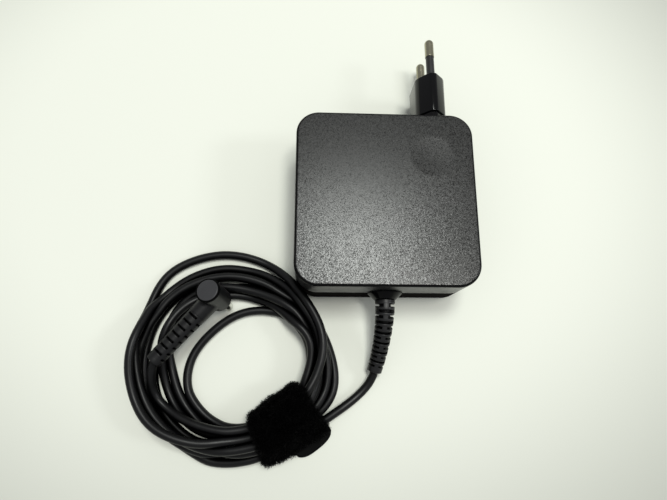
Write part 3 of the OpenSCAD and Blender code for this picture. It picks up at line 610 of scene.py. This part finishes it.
def make_strap():
    """The strap itself, pulled tight round the turns it holds."""
    slices, around, slice_reach, clearance, evenings = 27, 72, 1.5, 0.15, 3
    least_x, most_y = 22, 24
    lump_from_z, lump_scale, lump_height, lump_mean = 1.5, 0.28, 0.9, 0.25
    radius, thick = sizes().cord_diameter / MM / 2, sizes().strap_thickness / MM
    local = (np.array(cord_points) - np.array([*COIL_CENTRE, 0])) @ tie_frame().T
    local = local[(local[:, 0] > least_x) & (np.abs(local[:, 1]) < most_y)]
    shares = np.linspace(0, 1, slices)
    angles = np.linspace(0, 2 * math.pi, around, endpoint=False)
    normals = np.stack([np.cos(angles), np.sin(angles)], 1)
    support = np.zeros((slices, around))
    for s, share in enumerate(shares):
        near = local[np.abs(local[:, 1] - slant(local[:, 0], share)) < slice_reach][:, [0, 2]]
        support[s] = (near @ normals.T).max(0) + radius + clearance
    wide = np.maximum(support, np.maximum(np.roll(support, 1, 0), np.roll(support, -1, 0)))
    wide[0], wide[-1] = support[:2].max(0), support[-2:].max(0)
    for _ in range(evenings):
        inner = wide.copy()
        inner[1:-1] = (wide[:-2] + 2 * wide[1:-1] + wide[2:]) / 4
        wide = (np.roll(inner, 1, 1) + 2 * inner + np.roll(inner, -1, 1)) / 4
    wide = np.maximum(wide, support)
    # pulled tight, the strap runs straight across hollows
    taut = wide.copy()
    for i in range(slices):
        for j in range(i + 2, slices):
            t = (shares[i + 1:j] - shares[i])[:, None] / (shares[j] - shares[i])
            taut[i + 1:j] = np.maximum(taut[i + 1:j], wide[i] * (1 - t) + wide[j] * t)

    def skin(extra, low):
        """The strap's surface at a height over the turns, nowhere lower than low."""
        h = taut + extra
        slope = (np.roll(h, -1, 1) - np.roll(h, 1, 1)) / (2 * (angles[1] - angles[0]))
        x = h * normals[:, 0] - slope * normals[:, 1]
        z = h * normals[:, 1] + slope * normals[:, 0]
        return np.stack([x, slant(x, shares[:, None]), np.maximum(z, low)], 2).reshape(-1, 3)

    inside, outside = skin(0.0, thick + 0.06), skin(thick, TABLE_GAP)
    # it sags and bulges a little between the turns
    for k, v in enumerate(outside):
        if v[2] > lump_from_z:
            lump = noise.noise(Vector(v) * lump_scale + Vector((3, 0, 5))) * lump_height
            away = v - np.array([BUNDLE_X, v[1], BUNDLE_Z])
            outside[k] = v + away / np.linalg.norm(away) * (lump_mean + lump)
    count, quads = slices * around, ring_faces(slices, around)
    faces = []
    for a, b, c, d in quads:
        faces += [(a, b, c, d), (count + b, count + a, count + d, count + c)]
    rims = [q[:2] for q in quads[:around]] + [q[:1:-1] for q in quads[-around:]]
    faces += [(a, b, count + b, count + a) for a, b in rims]
    # knitted nylon under the pile: matt black with the loops' rows 0.5 mm apart, with painted shade where it
    # lies close over the turns
    knit = moulded("knitted_nylon", colours().pile, 0.8, 0.5, 0.05, mottle=0.3, specular=0.1, painted_shade_mm=3)
    strap = finished_piece("cord_tie_strap", [*from_tie(inside), *from_tie(outside)], faces, knit, 60)
    hand_over(strap, "tie_pile", "cable_tie")
    return strap


def make_tab():
    """The strap's free end: a smooth rounded tab that comes out from under the turns."""
    columns, rows = 16, 18
    root_x, neck, tip, skew, middle_y, half_width = 40.0, 4.5, 7.2, 0.4, 5.2, 9.4
    squareness, rim_share = 3.0, 9
    curl, curl_from, ripple, ripple_scale, lift = 1.44, 0.45, 0.4, 0.3, 0.1
    half_thick = sizes().strap_thickness / MM / 2
    verts, faces = [], []
    for side in (-1, 1):
        for r in range(rows + 1):
            t = r / rows * 2 - 1
            round_end = (1 - abs(t) ** squareness) ** (1 / squareness)
            y = middle_y + t * half_width
            for c in range(columns + 1):
                u = c / columns
                x = root_x + u * (neck + (tip + skew * t) * round_end)
                rise = curl * max(0.0, u - curl_from) ** 2
                rise += ripple * noise.noise(Vector((x * ripple_scale, y * ripple_scale, 1)))
                edge = min(1.0, (1 - u) * rim_share) * min(1.0, (1 - abs(t)) * rim_share)
                half = half_thick * math.sqrt(max(0.0, 1 - (1 - edge) ** 2))
                verts.append((x, y, max(half_thick + lift + rise + side * half, TABLE_GAP)))
    row, sheet = columns + 1, (rows + 1) * (columns + 1)
    for base, side in ((0, -1), (sheet, 1)):
        for a in (base + r * row + c for r in range(rows) for c in range(columns)):
            faces.append((a, a + 1, a + row + 1, a + row)[::side])
    faces += [(a, a + row, sheet + a + row, sheet + a) for a in range(0, rows * row, row)]
    # woven nylon tape, calendered smooth: satin black with a 0.4 mm weave
    tape = moulded("woven_nylon_tape", colours().pile, 0.7, 0.4, 0.03, mottle=0.25, specular=0.1)
    hand_over(finished_piece("cord_tie_tab", from_tie(verts), faces, tape, 60), "tie_pile")


def make_pile(strap):
    """Fibres on the strap's outside, leaning at random."""
    least_z, bow_way, tip_way = 0.6, (0.45, 0.0, 0.55), (0.1, 0.25, 1.0)
    mesh = strap.data.copy()
    middle = Vector(from_tie((BUNDLE_X, BUNDLE_Y, BUNDLE_Z))) * MM
    with editing(mesh) as bm:
        inner = [f for f in bm.faces if f.normal.dot(f.calc_center_median() - middle) < 0
                 or f.calc_center_median().z < least_z * MM]
        bmesh.ops.delete(bm, geom=inner, context="FACES")
    pile = new_piece("cord_tie_pile", mesh)
    tree, node, put = geometry_group("pile", {
        "Density": "Float", "Fibre length": "Float", "Fibre thickness": "Float", "Lean": "Float",
        "Seed": "Int", "Material": "Material"})
    spots = node("GeometryNodeDistributePointsOnFaces", {
        "Mesh": put["Geometry"], "Density": put["Density"], "Seed": put["Seed"]})
    bow, tip = [node("VectorMath", {0: way, "Scale": put["Fibre length"]}, operation="SCALE")
                for way in (bow_way, tip_way)]
    line = node("GeometryNodeCurveQuadraticBezier", {
        "Resolution": 3, "Start": (0, 0, 0), "Middle": bow, "End": tip})
    ring = node("GeometryNodeCurvePrimitiveCircle", {"Resolution": 3, "Radius": put["Fibre thickness"]})
    fibre = node("GeometryNodeCurveToMesh", {"Curve": line, "Profile Curve": ring})
    lean = node("CombineXYZ", {"X": put["Lean"], "Y": put["Lean"], "Z": math.pi})
    back = node("VectorMath", {0: lean, "Scale": -1.0}, operation="SCALE")
    turn = node("FunctionNodeRandomValue", {0: back, 1: lean, "Seed": put["Seed"]}, data_type="FLOAT_VECTOR")
    turned_by = node("FunctionNodeEulerToRotation", {"Euler": turn})
    # tufts: the fibres grow and shrink together over a couple of millimetres
    tufts = node("TexNoise", {"Scale": 450.0, "Detail": 1.0})
    grow = node("MapRange", {
        "Value": tufts, "From Min": 0.3, "From Max": 0.7, "To Min": 0.45, "To Max": 1.15})
    laid = node("GeometryNodeInstanceOnPoints", {
        "Points": spots, "Instance": fibre, "Scale": grow,
        "Rotation": node("FunctionNodeRotateRotation", {
            "Rotation": spots["Rotation"], "Rotate By": turned_by}, rotation_space="LOCAL")})
    end_group(node, laid, put["Material"])
    # nylon loops: jet black, each fibre with a soft shine of its own, with painted shade deep among the
    # fibres
    nylon = moulded("nylon_pile", colours().pile, 0.6, 0.6, 0.01, mottle=0.4, specular=0.17, painted_shade_mm=1.2)
    run_group(pile, tree, {
        "Density": sizes().pile_density * 1e6, "Fibre length": sizes().pile_length,
        "Fibre thickness": 0.08 * MM, "Lean": 0.95, "Seed": sizes().pile_seed, "Material": nylon})
    settle_modifiers(pile)
    # the lowest fibres lie pressed against the table
    places = np.empty(3 * len(pile.data.vertices), np.float32)
    pile.data.vertices.foreach_get("co", places)
    places[2::3] = np.maximum(places[2::3], TABLE_GAP * MM)
    pile.data.vertices.foreach_set("co", places)
    finish(pile.data, nylon)
    hand_over(pile, "tie_pile")


class ADAPTER_OT_tie(bpy.types.Operator):
    """Wraps the hook-and-loop tie round the coil and covers it with pile"""
    bl_idname = "adapter.tie"
    bl_label = "Cord tie"

    def execute(self, context):
        strap = make_strap()
        make_tab()
        make_pile(strap)
        return {"FINISHED"}


class ADAPTER_OT_housing(bpy.types.Operator):
    """Finishes the two shells of the housing"""
    bl_idname = "adapter.housing"
    bl_label = "Housing"

    def execute(self, context):
        top_normal, rim_normal = 0.97, 0.05
        # ABS with a spark-eroded texture: matt charcoal, with cells of 0.27 mm that sparkle a little
        textured = spark_textured("spark_textured_abs", colours().housing, 0.25, 0.27, 0.09)
        # the same ABS without the texture: the cover's satin sides
        side = moulded("satin_sided_abs", linear("#191a1b"), 0.32, 0.6, 0.005)
        # polished ABS on the rim round the top: near black, with faint wipe marks
        gloss = moulded("polished_abs", colours().gloss, 0.16, 0.9, 0.002, mottle=0.1, specular=0.12)
        # the lower shell's duller ABS, tinted a little brown all over: painted reflection of a reddish cast
        # along the wall
        dull = moulded("semi_gloss_abs", linear("#0a0606"), 0.2, 0.7, 0.004, mottle=0.1, flat_gloss=0.018)
        cover = finished_copy("top_cover", "cover", "housing_texture", textured, gloss, side)
        for face in cover.data.polygons:
            if face.normal.z < top_normal:
                rim = face.normal.z > rim_normal and face.center.z > (RIM_START_Z - 0.1) * MM
                face.material_index = 1 if rim else 2
        finished_copy("bottom_housing", "lower_shell", "housing_gloss", dull)
        return {"FINISHED"}


def plug_ring(inset, y, steps=6):
    """The plug's outline at one place along it: a flat block with its long edges cut off at 45 degrees."""
    half_w, half_h, flat = PLUG_HALF_W - inset, PLUG_HALF_H - inset, PLUG_FLAT
    shoulder = half_h - half_w + flat
    side_r, tip_r = 6.0, 2.0
    corners = [Vector(v) for v in (
        (half_w, -shoulder), (half_w, shoulder), (flat, half_h), (-flat, half_h),
        (-half_w, shoulder), (-half_w, -shoulder), (-flat, -half_h), (flat, -half_h))]
    ring = []
    for k, corner in enumerate(corners):
        r = side_r if k % 4 < 2 else tip_r
        before, after = (corners[k - 1] - corner).normalized(), (corners[(k + 1) % 8] - corner).normalized()
        half = (math.pi - before.angle(after)) / 2
        middle = corner + (before + after).normalized() * (r / math.cos(half))
        start = corner + before * (r * math.tan(half)) - middle
        for i in range(steps + 1):
            a = math.atan2(start.y, start.x) + 2 * half * i / steps
            ring.append((PLUG_X + middle.x + r * math.cos(a), y, PLUG_Z + middle.y + r * math.sin(a)))
    return ring


def plug_block(material):
    """The plug's block with its neck, which stands into the housing."""
    neck_inset, root_r, rim_r = 1.0, 0.35, 0.5
    quarter = [math.pi / 8 * k for k in range(5)]
    rings = [plug_ring(neck_inset, y) for y in (PLUG_ROOT_Y, PLUG_NECK_Y)]
    rings += [plug_ring(root_r * (1 - math.sin(a)), PLUG_NECK_Y + root_r * (1 - math.cos(a)))
              for a in quarter]
    rings += [plug_ring(rim_r * (1 - math.cos(a)), PLUG_END_Y - rim_r + rim_r * math.sin(a))
              for a in quarter]
    n, verts = len(rings[0]), [v for ring in rings for v in ring]
    faces = [tuple(range(n)), tuple(range(len(verts) - n, len(verts))), *ring_faces(len(rings), n)]
    hand_over(finished_piece("plug_block", verts, faces, material, 30), "plug_plastic", "plug_head")


class ADAPTER_OT_plug(bpy.types.Operator):
    """Finishes the mains plug, its pins and their sleeves"""
    bl_idname = "adapter.plug"
    bl_label = "Mains plug"

    def execute(self, context):
        # polished polycarbonate: black and glossy, with sharp lights along the long edges
        plug_block(moulded(
            "polished_polycarbonate", colours().gloss, 0.14, 1.2, 0.002, mottle=0.1, specular=0.22))
        # nickel-plated brass pins, turned and tumbled: warm satin metal with lengthwise wear from sockets
        nickel = moulded("nickel_plated_brass", colours().pins, 0.24, 0.16, 0.003, mottle=0.08, metallic=1.0,
                         stretch=(1, 0.12, 1))
        # polyamide sleeve: satin dark grey
        sleeves = moulded("polyamide_sleeve", linear("#1e1e1f"), 0.42, 0.4, 0.008)
        finished_copy("plug_pins", "plug_pins_plated", "pin_metal", nickel, rounding=0.1)
        finished_copy("pin_sleeves", "plug_sleeves", "sleeve_plastic", sleeves, rounding=0.08)
        return {"FINISHED"}


# ---- bending boots ----
def turned(radii, ends, across, along, segments=40):
    """A round body about Z from one end to the other, with a radius at each, its rims rounded."""
    (first, last), (low, high) = radii, ends
    quarter = [k * math.pi / 8 for k in range(5)]
    profile = [
        (0, low),
        *((first - across + across * math.sin(a), low + along - along * math.cos(a)) for a in quarter),
        *((last - across + across * math.cos(a), high - along + along * math.sin(a)) for a in quarter),
        (0, high)]
    steps = [2 * math.pi * k / segments for k in range(segments)]
    return ([(r * math.cos(a), r * math.sin(a), z) for r, z in profile for a in steps],
            ring_faces(len(profile), segments))


def web_block(unit, half_angle, long, segments=72):
    """What joins two ribs of radius unit: a round core and two webs, half_angle degrees to each side."""
    core = 0.6
    steps = [2 * math.pi * k / segments for k in range(segments)]
    reach = [unit * (1.0 if abs(math.cos(a)) > math.cos(math.radians(half_angle)) else core) for a in steps]
    verts = [(r * math.cos(a), r * math.sin(a), z) for z in (0, long) for r, a in zip(reach, steps)]
    n = segments
    return verts, [tuple(range(n))[::-1], tuple(range(n, 2 * n)), *ring_faces(2, n)]


def sleeve(start, end, radii, edge):
    """A short round sleeve from start to end, with rounded rims."""
    axis = (end - start) / np.linalg.norm(end - start)
    side = np.cross(axis, [0, 0, 1])
    side /= np.linalg.norm(side)
    verts, faces = turned(radii, (0, np.linalg.norm(end - start)), edge, edge)
    return start + np.array(verts) @ np.array([side, np.cross(side, axis), axis]), faces


def boot_tree():
    """Ribs at even steps along a path, smaller towards its end, with crosswise webs between them."""
    tree, node, put = geometry_group("bending boot", {
        "Ribs": "Int", "First radius": "Float", "Last radius": "Float", "Web inset": "Float",
        "Roll": "Float", "Rib": "Object", "Web": "Object", "Material": "Material"})
    level = node("GeometryNodeSetCurveNormal", {"Curve": put["Geometry"]}, mode="Z_UP")
    spots = node("GeometryNodeCurveToPoints", {"Curve": level, "Count": put["Ribs"]})
    index = node("GeometryNodeInputIndex")
    last = node("Math", {0: put["Ribs"], 1: 1.0}, operation="SUBTRACT")
    share = node("Math", {0: index, 1: last}, operation="DIVIDE")
    radius = node("MapRange", {
        "Value": share, "To Min": put["First radius"], "To Max": put["Last radius"]})
    web_radius = node("Math", {0: radius, 1: put["Web inset"]}, operation="SUBTRACT")
    # the webs stand up and lie flat in turn
    odd = node("Math", {0: index, 1: 2.0}, operation="MODULO")
    roll = node("Math", {0: odd, 1: math.pi / 2, 2: put["Roll"]}, operation="MULTIPLY_ADD")
    turn = node("FunctionNodeEulerToRotation", {"Euler": node("CombineXYZ", {"Z": roll})})
    crosswise = node("FunctionNodeRotateRotation", {
        "Rotation": spots["Rotation"], "Rotate By": turn}, rotation_space="LOCAL")
    laid = [
        node("GeometryNodeInstanceOnPoints", {
            "Points": spots, "Instance": node("GeometryNodeObjectInfo", {"Object": put[part]})["Geometry"],
            "Rotation": way, "Scale": node("CombineXYZ", {"X": r, "Y": r, "Z": 1.0})})
        for part, way, r in (("Web", crosswise, web_radius), ("Rib", spots["Rotation"], radius))]
    end_group(node, node("GeometryNodeJoinGeometry", {0: laid}), put["Material"])
    return tree


def bending_boot(name, replaced, points, ribs, radii, rib_thick, web_angle, web_long, roll, ends, material):
    """A ribbed boot along points, with plain rings at its ends, each given as start, end and radius."""
    unit = 1 / MM  # ribs and webs are made with a radius of a metre, and scaled to size
    rim_across, rim_most, end_taper, end_edge = 0.08, 0.45, 0.03, 0.3
    path = new_piece(name + "_path", path_curve(name + "_path", points))
    edge = min(sizes().rib_rounding / MM, rim_most * rib_thick)
    disc = turned((unit, unit), (-rib_thick / 2, rib_thick / 2), rim_across * unit, edge)
    rib, web = [new_piece(name + part, mesh_from(name + part, *shape)) for part, shape in (
        ("_rib", disc), ("_web", web_block(unit, web_angle, web_long)))]
    run_group(path, boot_tree(), {
        "Ribs": ribs, "First radius": radii[0] * MM, "Last radius": radii[1] * MM, "Web inset": 0.04 * MM,
        "Roll": math.radians(roll), "Rib": rib, "Web": web, "Material": material})
    mesh = modified_mesh(path)
    for helper in (path, rib, web):
        bpy.data.objects.remove(helper)
    with editing(mesh) as bm:
        for start, end, radius in ends:
            end_ring = sleeve(start, end, (radius, radius - end_taper), end_edge)
            bm.from_mesh(mesh_from(name + "_end", *end_ring))
        bmesh.ops.recalc_face_normals(bm, faces=bm.faces)
    finish(mesh, material)
    smooth(mesh, 35)
    hand_over(new_piece(name, mesh), "relief_rubber", replaced)


class ADAPTER_OT_outlet(bpy.types.Operator):
    """Finishes the collar and makes the ribbed strain relief"""
    bl_idname = "adapter.outlet"
    bl_label = "Cord outlet"

    def execute(self, context):
        radii, ribs, rib_thick, web_angle, web_long, roll = (4.1, 3.15), 14, 1.25, 19, 2.1, 90
        first_rib, last_rib, path_points = 1.15, 28.45, 57
        # the same ABS as the lower shell, from a smoother part of the mould, with painted shade where it
        # meets the housing and the boot
        satin = moulded("satin_abs", colours().gloss, 0.16, 0.6, 0.003, mottle=0.1, specular=0.12,
                        painted_shade_mm=4)
        finished_copy("output_collar", "collar", "housing_gloss", satin, rounding=0.2)
        # TPE overmould: satin dark grey, softly uneven, with painted shade in the slots
        rubber = moulded("tpe_overmould", colours().boot, 0.4, 0.35, 0.01, mottle=0.18, specular=0.46,
                         painted_shade_mm=2)
        along = np.linspace(first_rib, last_rib, path_points)
        points = [bezier(RELIEF_CURVE, x / RELIEF_LENGTH) for x in along]
        ends = [(RELIEF_CURVE[0], points[0] + np.array([0, -0.5, 0]), radii[0]),
                (points[-1], RELIEF_CURVE[3], radii[1])]
        bending_boot("strain_relief_boot", "strain_relief", points, ribs, radii, rib_thick, web_angle,
                     web_long, roll, ends, rubber)
        return {"FINISHED"}


class ADAPTER_OT_connector(bpy.types.Operator):
    """Finishes the right-angle connector and makes its ribbed boot"""
    bl_idname = "adapter.connector"
    bl_label = "Connector"

    def execute(self, context):
        radii, ribs, rib_gap, web_angle, roll = (3.95, 3.35), 15, 0.78, 56, 8
        first_rib, boot_end, path_points = BOOT_NECK + 0.34, 34.3, 45
        groove_low, groove_high, groove_r, groove_edge, cap_painted_light_gain = 7.2, 8.1, 4.95, 0.2, 6.6
        # TPE body over the contacts: satin, with painted shade in the slots
        body = moulded("moulded_tpe", colours().boot, 0.4, 0.3, 0.008, specular=0.34, painted_shade_mm=2)
        # the separate cap of the same TPE, made paler: painted light on its smooth face
        cap_painted_light = tuple(cap_painted_light_gain * c for c in colours().boot)
        cap = moulded("cap_tpe_painted_light", cap_painted_light, 0.42, 0.5, 0.006, mottle=0.1)
        # nickel-plated steel barrel: bright, drawn tube
        plated = moulded("nickel_plated_steel", linear("#d2d2ce"), 0.16, 0.2, 0.002, mottle=0.05,
                         metallic=1.0)
        # a near-black ring round the knob under its cap: painted shade for the narrow groove there, which
        # light hardly reaches
        groove_shade = moulded("groove_painted_shade", colours().pile, 0.6, 0.3, 0.005, mottle=0.1, specular=0.05)
        elbow = finished_copy(
            "connector_body", "connector_elbow", "connector_plastic", body, groove_shade, rounding=0.2)
        # the ring of painted shade stands just proud of the knob's side, below the cap
        low, high = [from_connector((0, 0, z)) for z in (groove_low, groove_high)]
        with editing(elbow.data) as bm:
            body_faces = len(bm.faces)
            bm.from_mesh(mesh_from("rim", *sleeve(low, high, (groove_r, groove_r), groove_edge)))
            bm.faces.ensure_lookup_table()
            for face in bm.faces[body_faces:]:
                face.material_index = 1
                face.smooth = True
        finished_copy("connector_cap", "connector_lid", "connector_plastic", cap, rounding=0.1)
        finished_copy("connector_barrel", "connector_sleeve", "barrel_metal", plated, rounding=0.08)
        step = BOOT_RIBBED / (ribs - 1)
        points = [from_connector((first_rib + x, 0, 0)) for x in np.linspace(0, BOOT_RIBBED, path_points)]
        last_ring = [from_connector((x, 0, 0)) for x in (BOOT_NECK + BOOT_RIBBED, boot_end)]
        bending_boot("connector_boot_ribbed", "connector_boot", points, ribs, radii, step - rib_gap,
                     web_angle, step, roll, [(*last_ring, radii[1])], body)
        return {"FINISHED"}


# Finishes of the pieces inside: name, colour, roughness, grain and relief in mm, pieces, further settings
INNER_FINISHES = (
    # etched laminate, its solder mask a dull green over the weave
    ("glass_epoxy_laminate", "#3b5c3a", 0.35, 0.8, 0.01, "circuit_board", {}),
    # matt pale fibres, pressed
    ("vulcanised_fibre_paper", "#cfc7ab", 0.8, 0.3, 0.02, "insulating_sheet", {}),
    # cream body under a clear glaze
    ("glazed_ceramic", "#c8b48e", 0.25, 1.0, 0.005, "fuse", {}),
    # yellow satin box
    ("pbt_capacitor_box", "#c4a62e", 0.45, 0.4, 0.01, "filter_capacitor", {}),
    # dark grey, ground and fine-grained
    ("sintered_ferrite", "#3b3d41", 0.6, 0.25, 0.02, "line_choke_core transformer_core", {}),
    # lacquered copper, turn beside turn
    ("enamelled_copper_wire", "#a4552a", 0.3, 0.8, 0.15, "line_choke_winding output_choke",
     {"metallic": 0.9, "stretch": (1, 1, 0.15)}),
    # black and dull, as transfer-moulded
    ("epoxy_moulding_compound", "#1c1c1d", 0.55, 0.2, 0.01,
     "bridge_rectifier power_switch output_rectifier", {}),
    # dark blue film, shrunk on and glossy
    ("pet_shrink_sleeve", "#20283a", 0.22, 2.0, 0.02, "bulk_capacitor output_capacitors", {}),
    # mill finish, with the roll's lines
    ("rolled_aluminium", "#bfc3c6", 0.35, 0.2, 0.005, "switch_heat_spreader output_heat_spreader",
     {"metallic": 1.0, "stretch": (0.1, 1, 1)}),
    # near black, satin
    ("phenolic_bobbin", "#26282c", 0.5, 0.3, 0.01, "transformer_bobbin", {}),
    # yellow film, glossy over the turns' edges
    ("polyester_winding_tape", "#d3b92f", 0.25, 1.5, 0.03, "transformer_winding", {}),
    # off-white, dull
    ("white_epoxy_case", "#dad7cc", 0.5, 0.2, 0.01, "optocoupler", {}),
    # dipped, with a lacquer's soft gloss
    ("blue_epoxy_coating", "#35639c", 0.3, 0.9, 0.03, "safety_capacitor", {}),
    # dark red, satin
    ("pvc_wire_insulation", "#7a1f1f", 0.4, 0.5, 0.01, "cord_stub", {}),
    # grey metal with a fine bloom
    ("zinc_plated_steel", "#b3b3ae", 0.3, 0.2, 0.004, "cord_clamp", {"metallic": 1.0}),
    # warm yellow metal, bright
    ("phosphor_bronze", "#c9a25a", 0.28, 0.2, 0.003, "contact_springs connector_contact", {"metallic": 1.0}),
    # milky, satin
    ("natural_polyamide", "#d6d4ca", 0.5, 0.3, 0.006, "connector_insulator", {}),
)


class ADAPTER_OT_circuit(bpy.types.Operator):
    """Gives the pieces inside the housing and the connector their finish"""
    bl_idname = "adapter.circuit"
    bl_label = "Circuit"

    def execute(self, context):
        for name, hex_colour, roughness, grain_mm, relief_mm, nodes, more in INNER_FINISHES:
            material = moulded(name, linear(hex_colour), roughness, grain_mm, relief_mm, **more)
            for node in nodes.split():
                finish(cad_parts[node].data, material)
        return {"FINISHED"}


def table_paint():
    """Pale satin paint on the table, its colour darkened away from the lamps' middle: painted shade."""
    lit_middle, full_light, half_light, stretch_y = (-0.04, 0.0375, 0), 0.12, 0.3, 1.25
    material, node, place = blank_material("painted_table")
    oval = node("VectorMath", {0: place, 1: (1, stretch_y, 0)}, operation="MULTIPLY")
    away = node("VectorMath", {0: oval, 1: lit_middle}, operation="DISTANCE")["Value"]
    # painted shade: the colour fades to half further from the lit middle
    painted_falloff = node("MapRange", {
        "Value": away, "From Min": full_light, "From Max": half_light, "To Min": 1.0, "To Max": 0.5},
        interpolation_type="SMOOTHSTEP")
    grain = node("TexNoise", {"Vector": place, "Scale": 400.0})
    tint = node("Mix", {"Factor": painted_falloff, 6: (0, 0, 0, 1), 7: (*colours().floor, 1)}, data_type="RGBA")[2]
    shader = node("BsdfPrincipled", {
        "Base Color": tint, "Roughness": 0.6, "Specular IOR Level": 0.2,
        "Normal": node("Bump", {"Height": grain, "Distance": 0.002 * MM})})
    node("OutputMaterial", {"Surface": shader})
    return material


class ADAPTER_OT_stage(bpy.types.Operator):
    """Adds the table, the lights and the world"""
    bl_idname = "adapter.stage"
    bl_label = "Stage"

    def execute(self, context):
        scene = context.scene
        half = 3000
        corners = [(x * half, y * half, 0) for x, y in ((-1, -1), (1, -1), (1, 1), (-1, 1))]
        table = new_piece("table", mesh_from("table", corners, [(0, 1, 2, 3)]))
        finish(table.data, table_paint())
        for name, at, aim, size, power, tint in (
                ("key_panel", (465, 72, 2200), (-20, -20, 0), 375, 12.3, "#fffef8"),
                ("ceiling_panel", (124, 401, 1630), (-14, -20, 30), 400, 11.1, "#fbfffa"),
                ("window_panel", (1540, -76, 1150), (-60, -60, 0), 340, 5.1, "#f8fcff")):
            light = bpy.data.lights.new(name, "AREA")
            light.shape = "SQUARE"
            light.size = size * MM
            light.energy = power
            light.color = linear(tint)
            way = (Vector(aim) - Vector(at)).to_track_quat("-Z", "Y").to_matrix().to_4x4()
            new_piece(name, light).matrix_world = Matrix.Translation(Vector(at) * MM) @ way
        world = bpy.data.worlds.new("room")
        world.use_nodes = True
        world.node_tree.nodes.clear()
        node = partial(add, world.node_tree)
        path = node("LightPath")
        shown = node("Math", {0: path["Is Camera Ray"], 1: path["Is Transmission Ray"]}, operation="MAXIMUM")
        lit, seen = [node("Background", {"Color": (*linear(tone), 1), "Strength": strength})
                     for tone, strength in (("#f4f6f8", 0.42), ("#eef0ed", 1.0))]
        node("OutputWorld", {"Surface": node("MixShader", {0: shown, 1: lit, 2: seen})})
        scene.world = world
        scene.view_settings.view_transform = "Standard"
        return {"FINISHED"}


class ADAPTER_OT_declare_cord(bpy.types.Operator):
    """Does nothing: the cord's length, diameter and ends are not stated here."""
    bl_idname = "adapter.declare_cord"
    bl_label = "Cord facts"

    def execute(self, context):
        return {"FINISHED"}


class ADAPTER_PT_panel(bpy.types.Panel):
    """Lists the adapter's pieces in the sidebar"""
    bl_label = "Power adapter"
    bl_idname = "ADAPTER_PT_panel"
    bl_space_type = "VIEW_3D"
    bl_region_type = "UI"
    bl_category = "Adapter"

    def draw(self, context):
        for group in (sizes(), colours()):
            for name in group.__annotations__:
                self.layout.prop(group, name)
        for operator in OPERATORS:
            self.layout.operator(operator.bl_idname)


OPERATORS = (
    ADAPTER_OT_view, ADAPTER_OT_cord, ADAPTER_OT_tie, ADAPTER_OT_housing, ADAPTER_OT_plug, ADAPTER_OT_outlet,
    ADAPTER_OT_connector, ADAPTER_OT_circuit, ADAPTER_OT_declare_cord, ADAPTER_OT_stage)
CLASSES = (AdapterSizes, AdapterColours, *OPERATORS, ADAPTER_PT_panel)


def register():
    for cls in CLASSES:
        bpy.utils.register_class(cls)
    bpy.types.Scene.adapter_sizes = PointerProperty(type=AdapterSizes)
    bpy.types.Scene.adapter_colours = PointerProperty(type=AdapterColours)


def unregister():
    del bpy.types.Scene.adapter_sizes
    del bpy.types.Scene.adapter_colours
    for cls in reversed(CLASSES):
        bpy.utils.unregister_class(cls)


def main():
    register()
    for operator in OPERATORS:
        group, name = operator.bl_idname.split(".")
        getattr(getattr(bpy.ops, group), name)()


if __name__ == "__main__":
    main()
